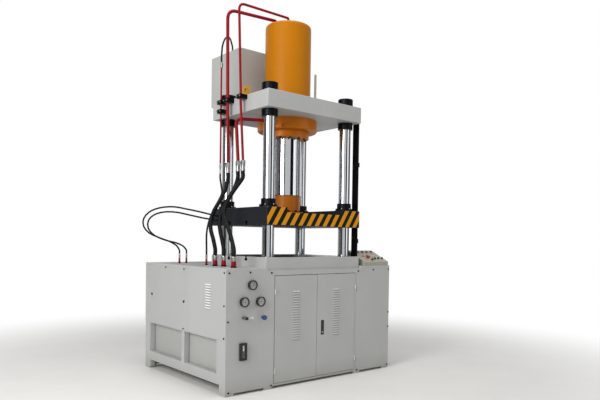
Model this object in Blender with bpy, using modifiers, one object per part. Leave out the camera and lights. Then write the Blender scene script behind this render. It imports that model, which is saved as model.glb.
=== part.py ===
"""Four-column hydraulic press standing on its power-pack cabinet. Metres, +Z up, front towards -Y.

Everything is placed from the press axis: an empty stands on that axis and carries the whole machine,
so that the world origin is under the middle of the machine's footprint.
"""
import math

import bmesh
import bpy
from mathutils import Vector

# Press frame
COLUMN_D = 0.100
COLUMN_INSET_X = 0.0945
COLUMN_INSET_Y = 0.1085
PLATE_W = 1.045
PLATE_D = 0.835
BED_T = 0.140
BED_UP = 0.104
OPENING = 1.205
CROWN_T = 0.140
NUT_D = 0.134
NUT_H = 0.075
COLLAR_H = 0.058
BED_NUT_D = 0.140
BED_NUT_H = 0.073
COLUMN_TAIL = 0.040
T_SLOT_PITCH = 0.260
T_SLOT_W = 0.022
T_SLOT_NECK = 0.018
T_SLOT_HEAD_W = 0.038
T_SLOT_HEAD_H = 0.016

# Moving slide
SLIDE_GAP = 0.260
SLIDE_T = 0.150
SLIDE_PAD_W = 0.209
SLIDE_STEP = 0.043
BUSH_D = 0.120
BUSH_FLANGE_D = 0.156
BUSH_FLANGE_T = 0.017
BUSH_NOSE_D = 0.126
BUSH_NOSE_H = 0.050
FOOT_FLANGE_D = 0.316
FOOT_FLANGE_T = 0.022
FOOT_NECK_D = 0.248
FOOT_NECK_H = 0.147
FLAG_X = 0.052
FLAG_T = 0.004
FLAG_H = 0.060
FLAG_UP = 0.100
EYEBOLT_UP = 0.031
STROKE_UP = 0.480
STROKE_DOWN = 0.220

# Main cylinder
RAM_D = 0.260
RAM_LENGTH = 0.960
BORE_D = 0.300
PISTON_H = 0.100
BARREL_WALL = 0.0555
BARREL_H = 0.706
BARREL_END = 0.060
SPIGOT_WALL = 0.040
LOCK_RING_D = 0.534
LOCK_RING_H = 0.099
GLAND_D = 0.394
GLAND_H = 0.059
PORT_D = 0.050
PORT_H = 0.022
PORT_A = (-0.100, 0.060)
PORT_B = (-0.050, -0.060)
RING_PORT_D = 0.044
RING_PORT_X = -0.270
RING_PORT_Y = -0.130
RING_PORT_DOWN = 0.054
FILL_BOSS_D = 0.130
FILL_BOSS_H = 0.015
VENT_D = 0.022
VENT_H = 0.347
VENT_X = 0.331
LUG_INSET = 0.0725
LUG_T = 0.020
LUG_W = 0.150
LUG_H = 0.106
LUG_EYE_D = 0.040

# Filling tank on the crown
TANK_NUT_GAP = 0.021
TANK_FRONT = 0.269
TANK_D = 0.486
TANK_H = 0.465
TANK_SKID_H = 0.061
TANK_WALL = 0.005
FILL_PIPE_D = 0.100
FILL_PIPE_Z = 0.350

# Cabinet
LEFT_DECK_W = 0.3935
RIGHT_DECK_W = 0.3815
FRONT_LIP = 0.0295
REAR_DECK_D = 0.5095
CAB_H = 0.950
COVER_H = 0.020
SHEET = 0.003
FOOT_H = 0.020
FOOT_W = 0.080
TUBE = 0.045
TOP_RAIL = 0.076
FLOOR_T = 0.006
LEDGE = 0.0225
SEAM_Z = 0.430
SEAM_Y = 0.227
GAUGE_PANEL_W = 0.4555
RIGHT_PANEL_W = 0.433
DOOR_FOOT = 0.042
DOOR_UNDER_TOP = 0.044
DOOR_MARGIN = 0.0085
DOOR_END_MARGIN = 0.026
DOOR_SPLIT = 0.004
DOOR_DEPTH = 0.020
DOOR_SHEET = 0.002
DOOR_GAP = 0.004
HINGE_R = 0.006
HINGE_HALF = 0.022
HINGE_FROM_ENDS = (0.101, 0.126)
HINGE_OUT = 0.0065
HINGE_IN = 0.0025
HANDLE_IN = 0.067
HANDLE_Z = 0.390
HANDLE_W = 0.036
HANDLE_H = 0.122
HANDLE_T = 0.009

# Fittings
LOUVRE_PITCH = 0.0205
LOUVRE_H = 0.012
LOUVRE_PROUD = 0.006
LOUVRE_WALL = 0.0015
DOOR_LOUVRES = 20
DOOR_LOUVRE_W = 0.072
DOOR_LOUVRES_IN = (0.2205, 0.2320)
DOOR_LOUVRES_DOWN = 0.530
COVER_LOUVRES = 10
COVER_LOUVRE_W = 0.086
COVER_LOUVRES_IN = 0.260
COVER_LOUVRES_DOWN = 0.305
LOCK_D = 0.022
LOCK_H = 0.005
FRONT_LOCK = (0.027, 0.281)
REAR_LOCK = (0.134, 0.262)
GAUGE_D = 0.085
GAUGE_PROUD = 0.028
GAUGE_BODY_D = 0.060
GAUGE_BODY_H = 0.030
GAUGE_RIM = 0.006
GAUGES_IN_DOWN = {"main": (0.232, 0.108), "system": (0.158, 0.236), "filling": (0.311, 0.239)}
VALVE_IN_DOWN = (0.159, 0.358)
KNOB_IN_DOWN = (0.337, 0.365)
LEVEL_IN = 0.122
LEVEL_W = 0.066
LEVEL_Z = (0.264, 0.399)
LEVEL_DEPTH = 0.020
VALVE_STEM = 0.043
COCK_D = 0.024
COCK_HUB_T = 0.012
COCK_ARM = 0.052
COCK_BALL_D = 0.018
KNOB_BOSS = 0.015
KNOB_D = 0.038
KNOB_H = 0.030
CONSOLE_W = 0.318
CONSOLE_IN = 0.011
CONSOLE_FRONT_H = 0.035
CONSOLE_REAR_H = 0.135
CONSOLE_D = 0.220
CONSOLE_FRONT = 0.007
BUTTON_D = 0.024
BUTTON_TRAVEL = 0.004
BUTTON_PITCH = 0.060
STOP_D = 0.040
STOP_TRAVEL = 0.006
RAIL_W = 0.070
RAIL_T = 0.012
RAIL_IN = 0.0825
RAIL_STANDOFF = 0.015
RAIL_FOOT = 0.015
RAIL_HEAD = 0.020
SENSOR_D = 0.018
SENSOR_BLOCK = 0.040
SENSOR_GAP = 0.005

# Pipes and hoses
PIPE_OUT = 0.0475
PIPE_Y = {"main": 0.104, "fast": -0.094, "pilot": 0.208}
MAIN_PIPE_D = 0.028
FAST_PIPE_D = 0.021
PILOT_PIPE_D = 0.015
PILOT_END_H = 0.045
PILOT_UP = 0.281
RETURN_PIPE_D = 0.028
UNION_DOWN = 0.409
UNION_H = 0.090
UNION_OVER_HOSE = 1.2
CLAMP_H = 0.036
CLAMP_DOWN = 0.021
CLAMP_FIT = 0.0008
THICK_HOSE = 0.034
THIN_HOSE = 0.016
LOOP_HOSE = 0.015
FITTING_H = 0.088
FITTING_NUT_H = 0.036
FITTING_SIDES = 8

# Inside the cabinet
RESERVOIR_IN = 0.054
RESERVOIR_W = 0.392
RESERVOIR_TOP = 0.450
RESERVOIR_END = 0.057
RESERVOIR_WALL = 0.006
MOTOR_X = 0.120
MOTOR_Y = (-0.020, 0.360)
MOTOR_Z = 0.270
MOTOR_D = 0.260
COWL_L = 0.060
BELL_D = 0.200
BELL_L = 0.090
PUMP_D = 0.120
PUMP_L = 0.140
MANIFOLD_IN = (0.116, 0.356)
MANIFOLD_H = 0.130
VALVE_PITCH = 0.130

# Clearance between pieces that touch, and how deep a fused piece goes into its carrier
CLEAR = 0.0003
BITE = 0.001
BIG_ROUND = 32
ROUND = 20
SMALL_ROUND = 16
SLIM_ROUND = 12

# Places worked out from the sizes above
COLUMN_PITCH_X = PLATE_W - 2 * COLUMN_INSET_X
COLUMN_PITCH_Y = PLATE_D - 2 * COLUMN_INSET_Y
BARREL_D = BORE_D + 2 * BARREL_WALL
SPIGOT_D = BORE_D + 2 * SPIGOT_WALL
LUG_X = PLATE_W / 2 - LUG_INSET
TANK_W = COLUMN_PITCH_X - NUT_D - 2 * TANK_NUT_GAP
RAIL_Y = RAIL_IN - PLATE_D / 2
HALF_W = PLATE_W / 2
HALF_D = PLATE_D / 2
BED_TOP = CAB_H + BED_UP
CROWN_BOTTOM = BED_TOP + OPENING
CROWN_TOP = CROWN_BOTTOM + CROWN_T
SLIDE_BOTTOM = BED_TOP + SLIDE_GAP
SLIDE_TOP = SLIDE_BOTTOM + SLIDE_T
SLIDE_SEAT = SLIDE_TOP - SLIDE_STEP
CAB_LEFT = -HALF_W - LEFT_DECK_W
CAB_RIGHT = HALF_W + RIGHT_DECK_W
CAB_FRONT = -HALF_D - FRONT_LIP
CAB_REAR = HALF_D + REAR_DECK_D
PIPE_X = -HALF_W - PIPE_OUT
UNION_Z = CROWN_BOTTOM - UNION_DOWN
PILOT_TOP = CROWN_TOP + PILOT_UP
DECK_Z = CAB_H + COVER_H
BARREL_TOP = CROWN_TOP + CLEAR + BARREL_H
SPIGOT_BOTTOM = CROWN_BOTTOM - LOCK_RING_H
TANK_BOTTOM = CROWN_TOP + TANK_SKID_H
TANK_TOP = TANK_BOTTOM + TANK_H
CONSOLE_X = (CAB_RIGHT - CONSOLE_IN - CONSOLE_W, CAB_RIGHT - CONSOLE_IN)
CONSOLE_Y = CAB_FRONT + CONSOLE_FRONT
CONSOLE_SLOPE = math.atan2(CONSOLE_REAR_H - CONSOLE_FRONT_H, CONSOLE_D)
GAUGE_PLACES = {use: (CAB_LEFT + across, CAB_H - down) for use, (across, down) in GAUGES_IN_DOWN.items()}
VALVE_AT = (CAB_LEFT + VALVE_IN_DOWN[0], CAB_H - VALVE_IN_DOWN[1])
KNOB_AT = (CAB_LEFT + KNOB_IN_DOWN[0], CAB_H - KNOB_IN_DOWN[1])
FLAG_Z = SLIDE_BOTTOM + FLAG_UP
SENSOR_Z = (FLAG_Z - STROKE_DOWN, FLAG_Z + STROKE_UP)
SENSOR_TIP_Y = RAIL_Y + 0.045
HINGE_Y = CAB_FRONT - HINGE_OUT
DOOR_Z = (DOOR_FOOT, CAB_H - DOOR_UNDER_TOP)
DOOR_LEFT_X = CAB_LEFT + GAUGE_PANEL_W + DOOR_MARGIN
DOOR_W = (CAB_RIGHT - RIGHT_PANEL_W - DOOR_END_MARGIN - DOOR_LEFT_X - DOOR_SPLIT) / 2
HINGE_Z = (DOOR_Z[0] + HINGE_FROM_ENDS[0], DOOR_Z[1] - HINGE_FROM_ENDS[1])
HANDLE_X = DOOR_LEFT_X + DOOR_W + DOOR_SPLIT / 2 + HANDLE_IN
LEFT_HINGE_X = DOOR_LEFT_X - HINGE_IN
RIGHT_HINGE_X = DOOR_LEFT_X + 2 * DOOR_W + DOOR_SPLIT + HINGE_IN
DOOR_OPENING = (DOOR_LEFT_X - DOOR_GAP, DOOR_LEFT_X + 2 * DOOR_W + DOOR_SPLIT + DOOR_GAP)
CLAMP_Z = CROWN_TOP - CLAMP_DOWN
RING_PORT_Z = CROWN_BOTTOM - RING_PORT_DOWN
HOSE_TOP = UNION_Z - UNION_H - CLEAR
HOSE_FOOT = DECK_Z + FITTING_H + CLEAR
CLAMPS = [(PIPE_Y["main"], CLAMP_Z, MAIN_PIPE_D), (PIPE_Y["fast"], CLAMP_Z, FAST_PIPE_D),
          (PIPE_Y["pilot"], CLAMP_Z, PILOT_PIPE_D), (PIPE_Y["pilot"], CLAMP_Z - 0.078, PILOT_PIPE_D)]

# The fittings on the deck: x, y and hose diameter
DECK_FITTINGS = {
    "main": (-0.722, 0.030, THICK_HOSE),
    "return": (-0.703, -0.073, THICK_HOSE),
    "fast": (-0.748, -0.289, THICK_HOSE),
    "pilot": (-0.693, 0.218, THIN_HOSE),
    "slide_front": (-0.743, 0.606, LOOP_HOSE),
    "slide_rear": (-0.652, 0.643, LOOP_HOSE),
}

# The buttons: place across and up the console's face, head diameter, height, gap under the head
BUTTONS = {f"push_button_{n + 1}": (0.090 + BUTTON_PITCH * n, 0.200, BUTTON_D, 0.011, BUTTON_TRAVEL + 0.001)
           for n in range(4)}
BUTTONS["emergency_button"] = (0.117, 0.083, STOP_D, 0.026, STOP_TRAVEL + 0.004)

# Free hoses: diameter and hand-chosen points, through the places where the photograph shows them
HOSE_ROUTES = {
    "main_pressure_hose": (THICK_HOSE, [
        (PIPE_X, 0.087, HOSE_TOP), (PIPE_X, 0.087, 1.700), (-0.595, 0.082, 1.620), (-0.630, 0.105, 1.530),
        (-0.655, 0.150, 1.450), (-0.672, 0.180, 1.370), (-0.695, 0.150, 1.280), (-0.714, 0.075, 1.190),
        (-0.722, 0.030, 1.110), (-0.722, 0.030, HOSE_FOOT)]),
    "return_hose": (THICK_HOSE, [
        (PIPE_X, -0.067, HOSE_TOP), (PIPE_X, -0.067, 1.705), (-0.582, -0.035, 1.620), (-0.600, 0.018, 1.545),
        (-0.628, 0.070, 1.450), (-0.655, 0.072, 1.360), (-0.678, 0.030, 1.275), (-0.694, -0.030, 1.190),
        (-0.703, -0.073, 1.110), (-0.703, -0.073, HOSE_FOOT)]),
    "fast_approach_hose": (THICK_HOSE, [
        (PIPE_X, -0.140, HOSE_TOP), (PIPE_X, -0.140, 1.705), (-0.610, -0.125, 1.640), (-0.653, -0.105, 1.570),
        (-0.680, -0.070, 1.490), (-0.698, -0.062, 1.410), (-0.716, -0.125, 1.330), (-0.735, -0.215, 1.235),
        (-0.748, -0.289, 1.115), (-0.748, -0.289, HOSE_FOOT)]),
    "pilot_hose": (THIN_HOSE, [
        (PIPE_X, 0.208, HOSE_TOP), (PIPE_X, 0.208, 1.720), (-0.576, 0.178, 1.650), (-0.585, 0.155, 1.590),
        (-0.600, 0.190, 1.520), (-0.618, 0.235, 1.450), (-0.645, 0.265, 1.345), (-0.672, 0.255, 1.240),
        (-0.693, 0.218, 1.105), (-0.693, 0.218, HOSE_FOOT)]),
    "slide_hose_front": (LOOP_HOSE, [
        (-0.743, 0.606, HOSE_FOOT), (-0.743, 0.606, 1.085), (-0.765, 0.622, 1.130), (-0.820, 0.658, 1.168),
        (-0.890, 0.706, 1.198), (-0.965, 0.762, 1.240), (-1.003, 0.798, 1.300), (-0.998, 0.808, 1.370),
        (-0.955, 0.788, 1.430), (-0.890, 0.720, 1.468), (-0.815, 0.600, 1.478), (-0.740, 0.470, 1.455),
        (-0.660, 0.370, 1.430), (-0.560, 0.290, 1.400), (-HALF_W - CLEAR, 0.290, 1.400)]),
    "slide_hose_rear": (LOOP_HOSE, [
        (-0.652, 0.643, HOSE_FOOT), (-0.652, 0.643, 1.085), (-0.680, 0.655, 1.125), (-0.740, 0.682, 1.155),
        (-0.830, 0.712, 1.178), (-0.915, 0.760, 1.220), (-0.960, 0.795, 1.285), (-0.955, 0.800, 1.355),
        (-0.915, 0.775, 1.405), (-0.855, 0.700, 1.432), (-0.790, 0.590, 1.430), (-0.725, 0.465, 1.405),
        (-0.655, 0.360, 1.380), (-0.560, 0.275, 1.360), (-HALF_W - CLEAR, 0.275, 1.360)]),
    "tank_hose": (LOOP_HOSE, [
        (PIPE_X, 0.208, PILOT_TOP + PILOT_END_H + CLEAR), (PIPE_X, 0.208, 2.780), (-0.560, 0.212, 2.870),
        (-0.525, 0.232, 2.940), (-0.470, 0.275, 2.985), (-0.410, 0.330, 3.000), (-0.360, 0.380, 2.985),
        (-0.330, 0.407, 2.955), (-0.330, 0.407, TANK_TOP + CLEAR)]),
}


def clear_scene():
    for old in list(bpy.data.objects):
        bpy.data.objects.remove(old, do_unlink=True)


def collection(name):
    made = bpy.data.collections.new(name)
    bpy.context.scene.collection.children.link(made)
    return made


def material(name, colour, roughness=0.5, metallic=0.0):
    """A plain Principled material. colour is linear red, green and blue."""
    made = bpy.data.materials.new(name)
    made.use_nodes = True
    shader = made.node_tree.nodes["Principled BSDF"]
    shader.inputs["Base Color"].default_value = (*colour, 1)
    shader.inputs["Roughness"].default_value = roughness
    shader.inputs["Metallic"].default_value = metallic
    return made


clear_scene()
PRESS = collection("hydraulic_press")
CUTTERS = collection("cutters")


def pivot(name, place, parent=None, turn=(0, 0, 0)):
    """An empty that carries pieces: the press axis itself, or the axis of a joint."""
    empty = bpy.data.objects.new(name, None)
    empty.location = place
    empty.rotation_euler = turn
    empty.parent = parent
    empty.empty_display_size = 0.1
    PRESS.objects.link(empty)
    return empty


def flowing(points, spacing):
    """A hose route: a smooth curve through hand-chosen points, sampled at about that spacing."""
    ends = [Vector(points[0]) * 2 - Vector(points[1]), Vector(points[-1]) * 2 - Vector(points[-2])]
    chain = [ends[0]] + [Vector(p) for p in points] + [ends[1]]
    route = [tuple(chain[1])]
    for a, b, c, d in zip(chain, chain[1:], chain[2:], chain[3:]):
        steps = max(1, round((c - b).length / spacing))
        for step in range(1, steps + 1):
            t = step / steps
            blend = (2 * b + (c - a) * t + (2 * a - 5 * b + 4 * c - d) * t * t
                     + (3 * b - a - 3 * c + d) * t ** 3) / 2
            route.append(tuple(blend))
    return route


def hose_route(points, diameter):
    """A smooth curve through the points, with a short straight lead at each end, square to its fitting."""
    first, last = Vector(points[0]), Vector(points[-1])
    start = first + (Vector(points[1]) - first).normalized() * diameter / 2
    finish = last + (Vector(points[-2]) - last).normalized() * diameter / 2
    return [tuple(first), *flowing([start, *points[1:-1], finish], 3 * diameter), tuple(last)]


def axis_place():
    """Where the press axis stands, so that the machine without its hoses is centred on the origin."""
    left = CAB_LEFT - LOUVRE_PROUD
    front = CAB_FRONT - CLEAR - VALVE_STEM - (COCK_HUB_T + COCK_BALL_D) / 2
    return -(left + CAB_RIGHT) / 2, -(front + CAB_REAR) / 2, 0


AXIS = pivot("press_axis", axis_place())
SLIDE_AXIS = pivot("slide_axis", (0, 0, 0), AXIS)


def new_object(name, data, place, parent=None):
    made = bpy.data.objects.new(name, data)
    made.location = place
    made.parent = parent or AXIS
    PRESS.objects.link(made)
    return made


def box(name, x, y, z, parent=None):
    """A block between low and high values of x, y and z, with its origin in the middle."""
    mesh = bpy.data.meshes.new(name)
    shape = bmesh.new()
    bmesh.ops.create_cube(shape, size=1)
    bmesh.ops.scale(shape, vec=(x[1] - x[0], y[1] - y[0], z[1] - z[0]), verts=shape.verts)
    shape.to_mesh(mesh)
    shape.free()
    return new_object(name, mesh, (sum(x) / 2, sum(y) / 2, sum(z) / 2), parent)


def cylinder(name, diameter, place, span, along="Z", sides=ROUND, parent=None):
    """A round bar that runs over span along one axis. place is its point, read without that axis."""
    mesh = bpy.data.meshes.new(name)
    shape = bmesh.new()
    bmesh.ops.create_cone(shape, cap_ends=True, segments=sides, radius1=diameter / 2,
                          radius2=diameter / 2, depth=span[1] - span[0])
    shape.to_mesh(mesh)
    shape.free()
    centre = list(place)
    centre.insert("XYZ".index(along), sum(span) / 2)
    made = new_object(name, mesh, centre, parent)
    made.rotation_euler = {"X": (0, math.pi / 2, 0), "Y": (math.pi / 2, 0, 0), "Z": (0, 0, 0)}[along]
    return made


def turned(name, profile, place, sides=ROUND, along="Z", parent=None):
    """A turned piece. profile holds (radius, height) pairs that run down the outer side.

    A profile that leaves the axis is closed on itself, which makes a ring or a sleeve.
    """
    mesh = bpy.data.meshes.new(name)
    edges = [(i, i + 1) for i in range(len(profile) - 1)]
    if profile[0][0] > 0:
        edges.append((len(profile) - 1, 0))
    mesh.from_pydata([(radius, 0, height) for radius, height in profile], edges, [])
    made = new_object(name, mesh, place, parent)
    made.rotation_euler = {"Z": (0, 0, 0), "Y": (math.pi / 2, 0, 0), "X": (0, math.pi / 2, 0)}[along]
    screw = made.modifiers.new("turn", "SCREW")
    screw.axis = "Z"
    screw.steps = screw.render_steps = sides
    screw.use_merge_vertices = True
    screw.merge_threshold = 0.0001
    screw.use_smooth_shade = False
    return made


def boolean(target, tool, operation):
    tool.hide_render = True
    tool.display_type = "WIRE"
    PRESS.objects.unlink(tool)
    CUTTERS.objects.link(tool)
    step = target.modifiers.new(operation.lower(), "BOOLEAN")
    step.operation = operation
    step.solver = "EXACT"
    step.object = tool


def cut(target, *tools):
    for tool in tools:
        boolean(target, tool, "DIFFERENCE")
    return target


def fuse(target, *tools):
    for tool in tools:
        boolean(target, tool, "UNION")
    return target


def chamfer(target, width, segments=1):
    bevel = target.modifiers.new("edges", "BEVEL")
    bevel.width = width
    bevel.segments = segments
    bevel.limit_method = "ANGLE"
    return target


def paint(target, finish):
    target.data.materials.clear()
    target.data.materials.append(finish)
    return target


def tube(name, route, radius, finish, resolution=3):
    """A pipe or hose along a route of points. A fourth number at a point scales the radius there."""
    curve = bpy.data.curves.new(name, "CURVE")
    curve.dimensions = "3D"
    curve.bevel_depth = radius
    curve.bevel_resolution = resolution
    curve.use_fill_caps = True
    spline = curve.splines.new("POLY")
    spline.points.add(len(route) - 1)
    for point, at in zip(spline.points, route):
        point.co = (*at[:3], 1)
        point.radius = at[3] if len(at) > 3 else 1
    return paint(new_object(name, curve, (0, 0, 0)), finish)


def bent(corners, radius, steps=4):
    """A pipe route: straight runs between the corners and a bend at each, tighter where a leg is short."""
    route = [tuple(corners[0])]
    for before, corner, after in zip(corners, corners[1:], corners[2:]):
        corner = Vector(corner)
        back, ahead = Vector(before) - corner, Vector(after) - corner
        half = back.angle(ahead) / 2
        reach = min(radius / math.tan(half), 0.9 * back.length, 0.9 * ahead.length)
        middle = corner + (back.normalized() + ahead.normalized()).normalized() * reach / math.cos(half)
        start = corner + back.normalized() * reach - middle
        finish = corner + ahead.normalized() * reach - middle
        sweep = math.pi - 2 * half
        turn_axis = start.cross(finish).normalized()
        count = steps if sweep > 0.5 else 1
        for step in range(count + 1):
            angle = sweep * step / count
            route.append(tuple(middle + start * math.cos(angle) + turn_axis.cross(start) * math.sin(angle)))
    route.append(tuple(corners[-1]))
    return route


PAINT = material("light_grey_enamel", (0.58, 0.58, 0.55), 0.45)
STEEL = material("machined_steel", (0.20, 0.21, 0.22), 0.35, 1.0)
CHROME = material("hard_chrome", (0.60, 0.62, 0.65), 0.12, 1.0)
BLACK = material("blackened_steel", (0.015, 0.015, 0.017), 0.45, 0.6)
ORANGE = material("orange_enamel", (0.63, 0.24, 0.01), 0.35)
CHARCOAL = material("charcoal_enamel", (0.028, 0.031, 0.038), 0.45)
RED_PIPE = material("red_pipe_enamel", (0.28, 0.012, 0.018), 0.4)
HOSE = material("hose_rubber", (0.012, 0.012, 0.014), 0.6)
BLACK_PLASTIC = material("black_plastic", (0.012, 0.012, 0.013), 0.4)
RED_PLASTIC = material("red_plastic", (0.45, 0.01, 0.01), 0.35)
BLUE_PLASTIC = material("blue_plastic", (0.01, 0.05, 0.20), 0.35)
MOTOR_PAINT = material("motor_grey_enamel", (0.12, 0.14, 0.16), 0.5)

COLUMNS = {
    "front_left": (-COLUMN_PITCH_X / 2, -COLUMN_PITCH_Y / 2),
    "front_right": (COLUMN_PITCH_X / 2, -COLUMN_PITCH_Y / 2),
    "rear_left": (-COLUMN_PITCH_X / 2, COLUMN_PITCH_Y / 2),
    "rear_right": (COLUMN_PITCH_X / 2, COLUMN_PITCH_Y / 2),
}
COLUMN_HOLE = COLUMN_D + 2 * CLEAR


def column_holes(plate, diameter, low, high, parent=None):
    for place in COLUMNS.values():
        cut(plate, cylinder("hole", diameter, place, (low, high), parent=parent))


def t_slots(plate, face, down, parent=None):
    """Two tee slots along X, sunk from a face. down is -1 from a top face and 1 from an underside."""
    for y in (-T_SLOT_PITCH / 2, T_SLOT_PITCH / 2):
        run = (-HALF_W - 0.01, HALF_W + 0.01)
        neck = sorted((face - down * 0.01, face + down * T_SLOT_NECK))
        head = sorted((face + down * (T_SLOT_NECK - BITE), face + down * (T_SLOT_NECK + T_SLOT_HEAD_H)))
        cut(plate,
            box("neck", run, (y - T_SLOT_W / 2, y + T_SLOT_W / 2), neck, parent),
            box("head", run, (y - T_SLOT_HEAD_W / 2, y + T_SLOT_HEAD_W / 2), head, parent))


def bed():
    plate = box("bed", (-HALF_W, HALF_W), (-HALF_D, HALF_D), (BED_TOP - BED_T, BED_TOP))
    chamfer(plate, 0.003)
    column_holes(plate, COLUMN_HOLE, BED_TOP - BED_T - 0.01, BED_TOP + 0.01)
    t_slots(plate, BED_TOP, -1)
    paint(plate, STEEL)


def lifting_lug(side):
    """A tapered lug with an eye, welded on the crown."""
    lug = box("lug", (side - LUG_T / 2, side + LUG_T / 2), (-LUG_W / 2, LUG_W / 2),
              (CROWN_TOP - BITE, CROWN_TOP + LUG_H))
    for corner in lug.data.vertices:
        if corner.co.z > 0:
            corner.co.y *= 0.45
    eye = (0, CROWN_TOP + LUG_H - LUG_EYE_D)
    return cut(lug, cylinder("eye", LUG_EYE_D, eye, (side - LUG_T, side + LUG_T), "X", SLIM_ROUND))


def pipe_clamp(y, z, diameter):
    """A clamp block on the crown's left face with a bore for one pipe."""
    block = box("clamp", (PIPE_X - 0.022, -HALF_W + BITE), (y - 0.030, y + 0.030),
                (z - CLAMP_H / 2, z + CLAMP_H / 2))
    return cut(block, cylinder("bore", diameter + 2 * CLAMP_FIT, (PIPE_X, y), (z - CLAMP_H, z + CLAMP_H),
                               sides=SLIM_ROUND))


def crown():
    plate = box("crown", (-HALF_W, HALF_W), (-HALF_D, HALF_D), (CROWN_BOTTOM, CROWN_TOP))
    chamfer(plate, 0.003)
    column_holes(plate, COLUMN_HOLE, CROWN_BOTTOM - 0.01, CROWN_TOP + 0.01)
    cut(plate, cylinder("bore", SPIGOT_D + 2 * CLEAR, (0, 0), (CROWN_BOTTOM - 0.01, CROWN_TOP + 0.01),
                        sides=BIG_ROUND))
    fuse(plate, lifting_lug(-LUG_X), lifting_lug(LUG_X))
    for y, z, diameter in CLAMPS:
        fuse(plate, pipe_clamp(y, z, diameter))
    fuse(plate, cylinder("vent", VENT_D, (VENT_X, 0), (CROWN_TOP - BITE, CROWN_TOP + VENT_H), sides=SLIM_ROUND))
    paint(plate, PAINT)


def columns():
    """Each column carries the collar under the crown and the nut under the bed."""
    bar, collar, nut, edge = COLUMN_D / 2, NUT_D / 2, BED_NUT_D / 2, 0.003
    top = CROWN_TOP + CLEAR + NUT_H - 0.006
    seat = CROWN_BOTTOM - CLEAR
    under_bed = BED_TOP - BED_T - CLEAR
    bottom = under_bed - BED_NUT_H - COLUMN_TAIL
    profile = [(0, top), (bar - edge, top), (bar, top - edge), (bar, seat),
               (collar, seat), (collar, seat - COLLAR_H), (bar, seat - COLLAR_H), (bar, under_bed),
               (nut, under_bed), (nut, under_bed - BED_NUT_H), (bar, under_bed - BED_NUT_H),
               (bar, bottom), (0, bottom)]
    for corner, place in COLUMNS.items():
        paint(turned(f"column_{corner}", profile, (*place, 0)), CHROME)


def crown_nuts():
    outer, inner, edge = NUT_D / 2, COLUMN_HOLE / 2, 0.004
    low = CROWN_TOP + CLEAR
    profile = [(outer - edge, low + NUT_H), (outer, low + NUT_H - edge), (outer, low), (inner, low),
               (inner, low + NUT_H)]
    for corner, place in COLUMNS.items():
        paint(turned(f"crown_nut_{corner}", profile, (*place, 0)), BLACK)


def cylinder_barrel():
    outer, spigot, bore, edge = BARREL_D / 2, SPIGOT_D / 2, BORE_D / 2, 0.010
    seat = CROWN_TOP + CLEAR
    profile = [(0, BARREL_TOP), (outer - edge, BARREL_TOP), (outer, BARREL_TOP - edge), (outer, seat),
               (spigot, seat), (spigot, SPIGOT_BOTTOM),
               (bore, SPIGOT_BOTTOM), (bore, BARREL_TOP - BARREL_END), (0, BARREL_TOP - BARREL_END)]
    barrel = turned("cylinder_barrel", profile, (0, 0, 0), BIG_ROUND)
    for port in (PORT_A, PORT_B):
        fuse(barrel, cylinder("port", PORT_D, port, (BARREL_TOP - BITE, BARREL_TOP + PORT_H), sides=SLIM_ROUND))
    fuse(barrel, cylinder("fill_port", FILL_BOSS_D, (0, TANK_BOTTOM + FILL_PIPE_Z),
                          (outer - FILL_BOSS_H, outer + FILL_BOSS_H), "Y"))
    paint(barrel, ORANGE)


def lock_ring():
    outer, inner = LOCK_RING_D / 2, SPIGOT_D / 2 + CLEAR
    high, low = CROWN_BOTTOM - CLEAR, SPIGOT_BOTTOM
    edge = 0.006
    profile = [(outer, high), (outer, low + edge), (outer - edge, low), (inner, low), (inner, high)]
    ring = turned("lock_ring", profile, (0, 0, 0), BIG_ROUND)
    for turn in range(4):
        notch = box("notch", (outer - 0.014, outer + 0.01), (-0.014, 0.014), (low - 0.01, low + 0.040))
        notch.rotation_euler.z = math.radians(45 + 90 * turn)
        notch.location.xy = ((outer - 0.002) * math.cos(notch.rotation_euler.z),
                             (outer - 0.002) * math.sin(notch.rotation_euler.z))
        cut(ring, notch)
    fuse(ring, cylinder("port", RING_PORT_D, (RING_PORT_Y, RING_PORT_Z), (RING_PORT_X, RING_PORT_X + 0.05), "X",
                        SLIM_ROUND))
    paint(ring, ORANGE)


def gland_ring():
    outer, inner, edge = GLAND_D / 2, RAM_D / 2 + CLEAR, 0.004
    high = SPIGOT_BOTTOM - CLEAR
    profile = [(outer, high), (outer, high - GLAND_H + edge), (outer - edge, high - GLAND_H),
               (inner, high - GLAND_H), (inner, high)]
    paint(turned("gland_ring", profile, (0, 0, 0), BIG_ROUND), ORANGE)


def filling_tank():
    """The oil tank that fills the cylinder on the fast approach, on two skids that reach back off the crown."""
    side, back = TANK_W / 2, TANK_FRONT + TANK_D
    tank = box("filling_tank", (-side, side), (TANK_FRONT, back), (TANK_BOTTOM, TANK_TOP))
    chamfer(tank, 0.004)
    for x in (-0.250, 0.250):
        fuse(tank, box("skid", (x - 0.025, x + 0.025), (TANK_FRONT + 0.01, back - 0.04),
                       (CROWN_TOP + CLEAR, TANK_BOTTOM + BITE)))
    outlet_z = TANK_BOTTOM + FILL_PIPE_Z
    fuse(tank, cylinder("outlet", FILL_PIPE_D, (0, outlet_z),
                        (BARREL_D / 2 + FILL_BOSS_H + CLEAR, TANK_FRONT + BITE), "Y"))
    cut(tank, box("inside", (-side + TANK_WALL, side - TANK_WALL), (TANK_FRONT + TANK_WALL, back - TANK_WALL),
                  (TANK_BOTTOM + TANK_WALL, TANK_TOP - TANK_WALL)))
    cut(tank, cylinder("filler_hole", 0.050, (0.120, back - 0.10), (TANK_TOP - 0.02, TANK_TOP + 0.02),
                       sides=SLIM_ROUND))
    paint(tank, PAINT)


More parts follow.
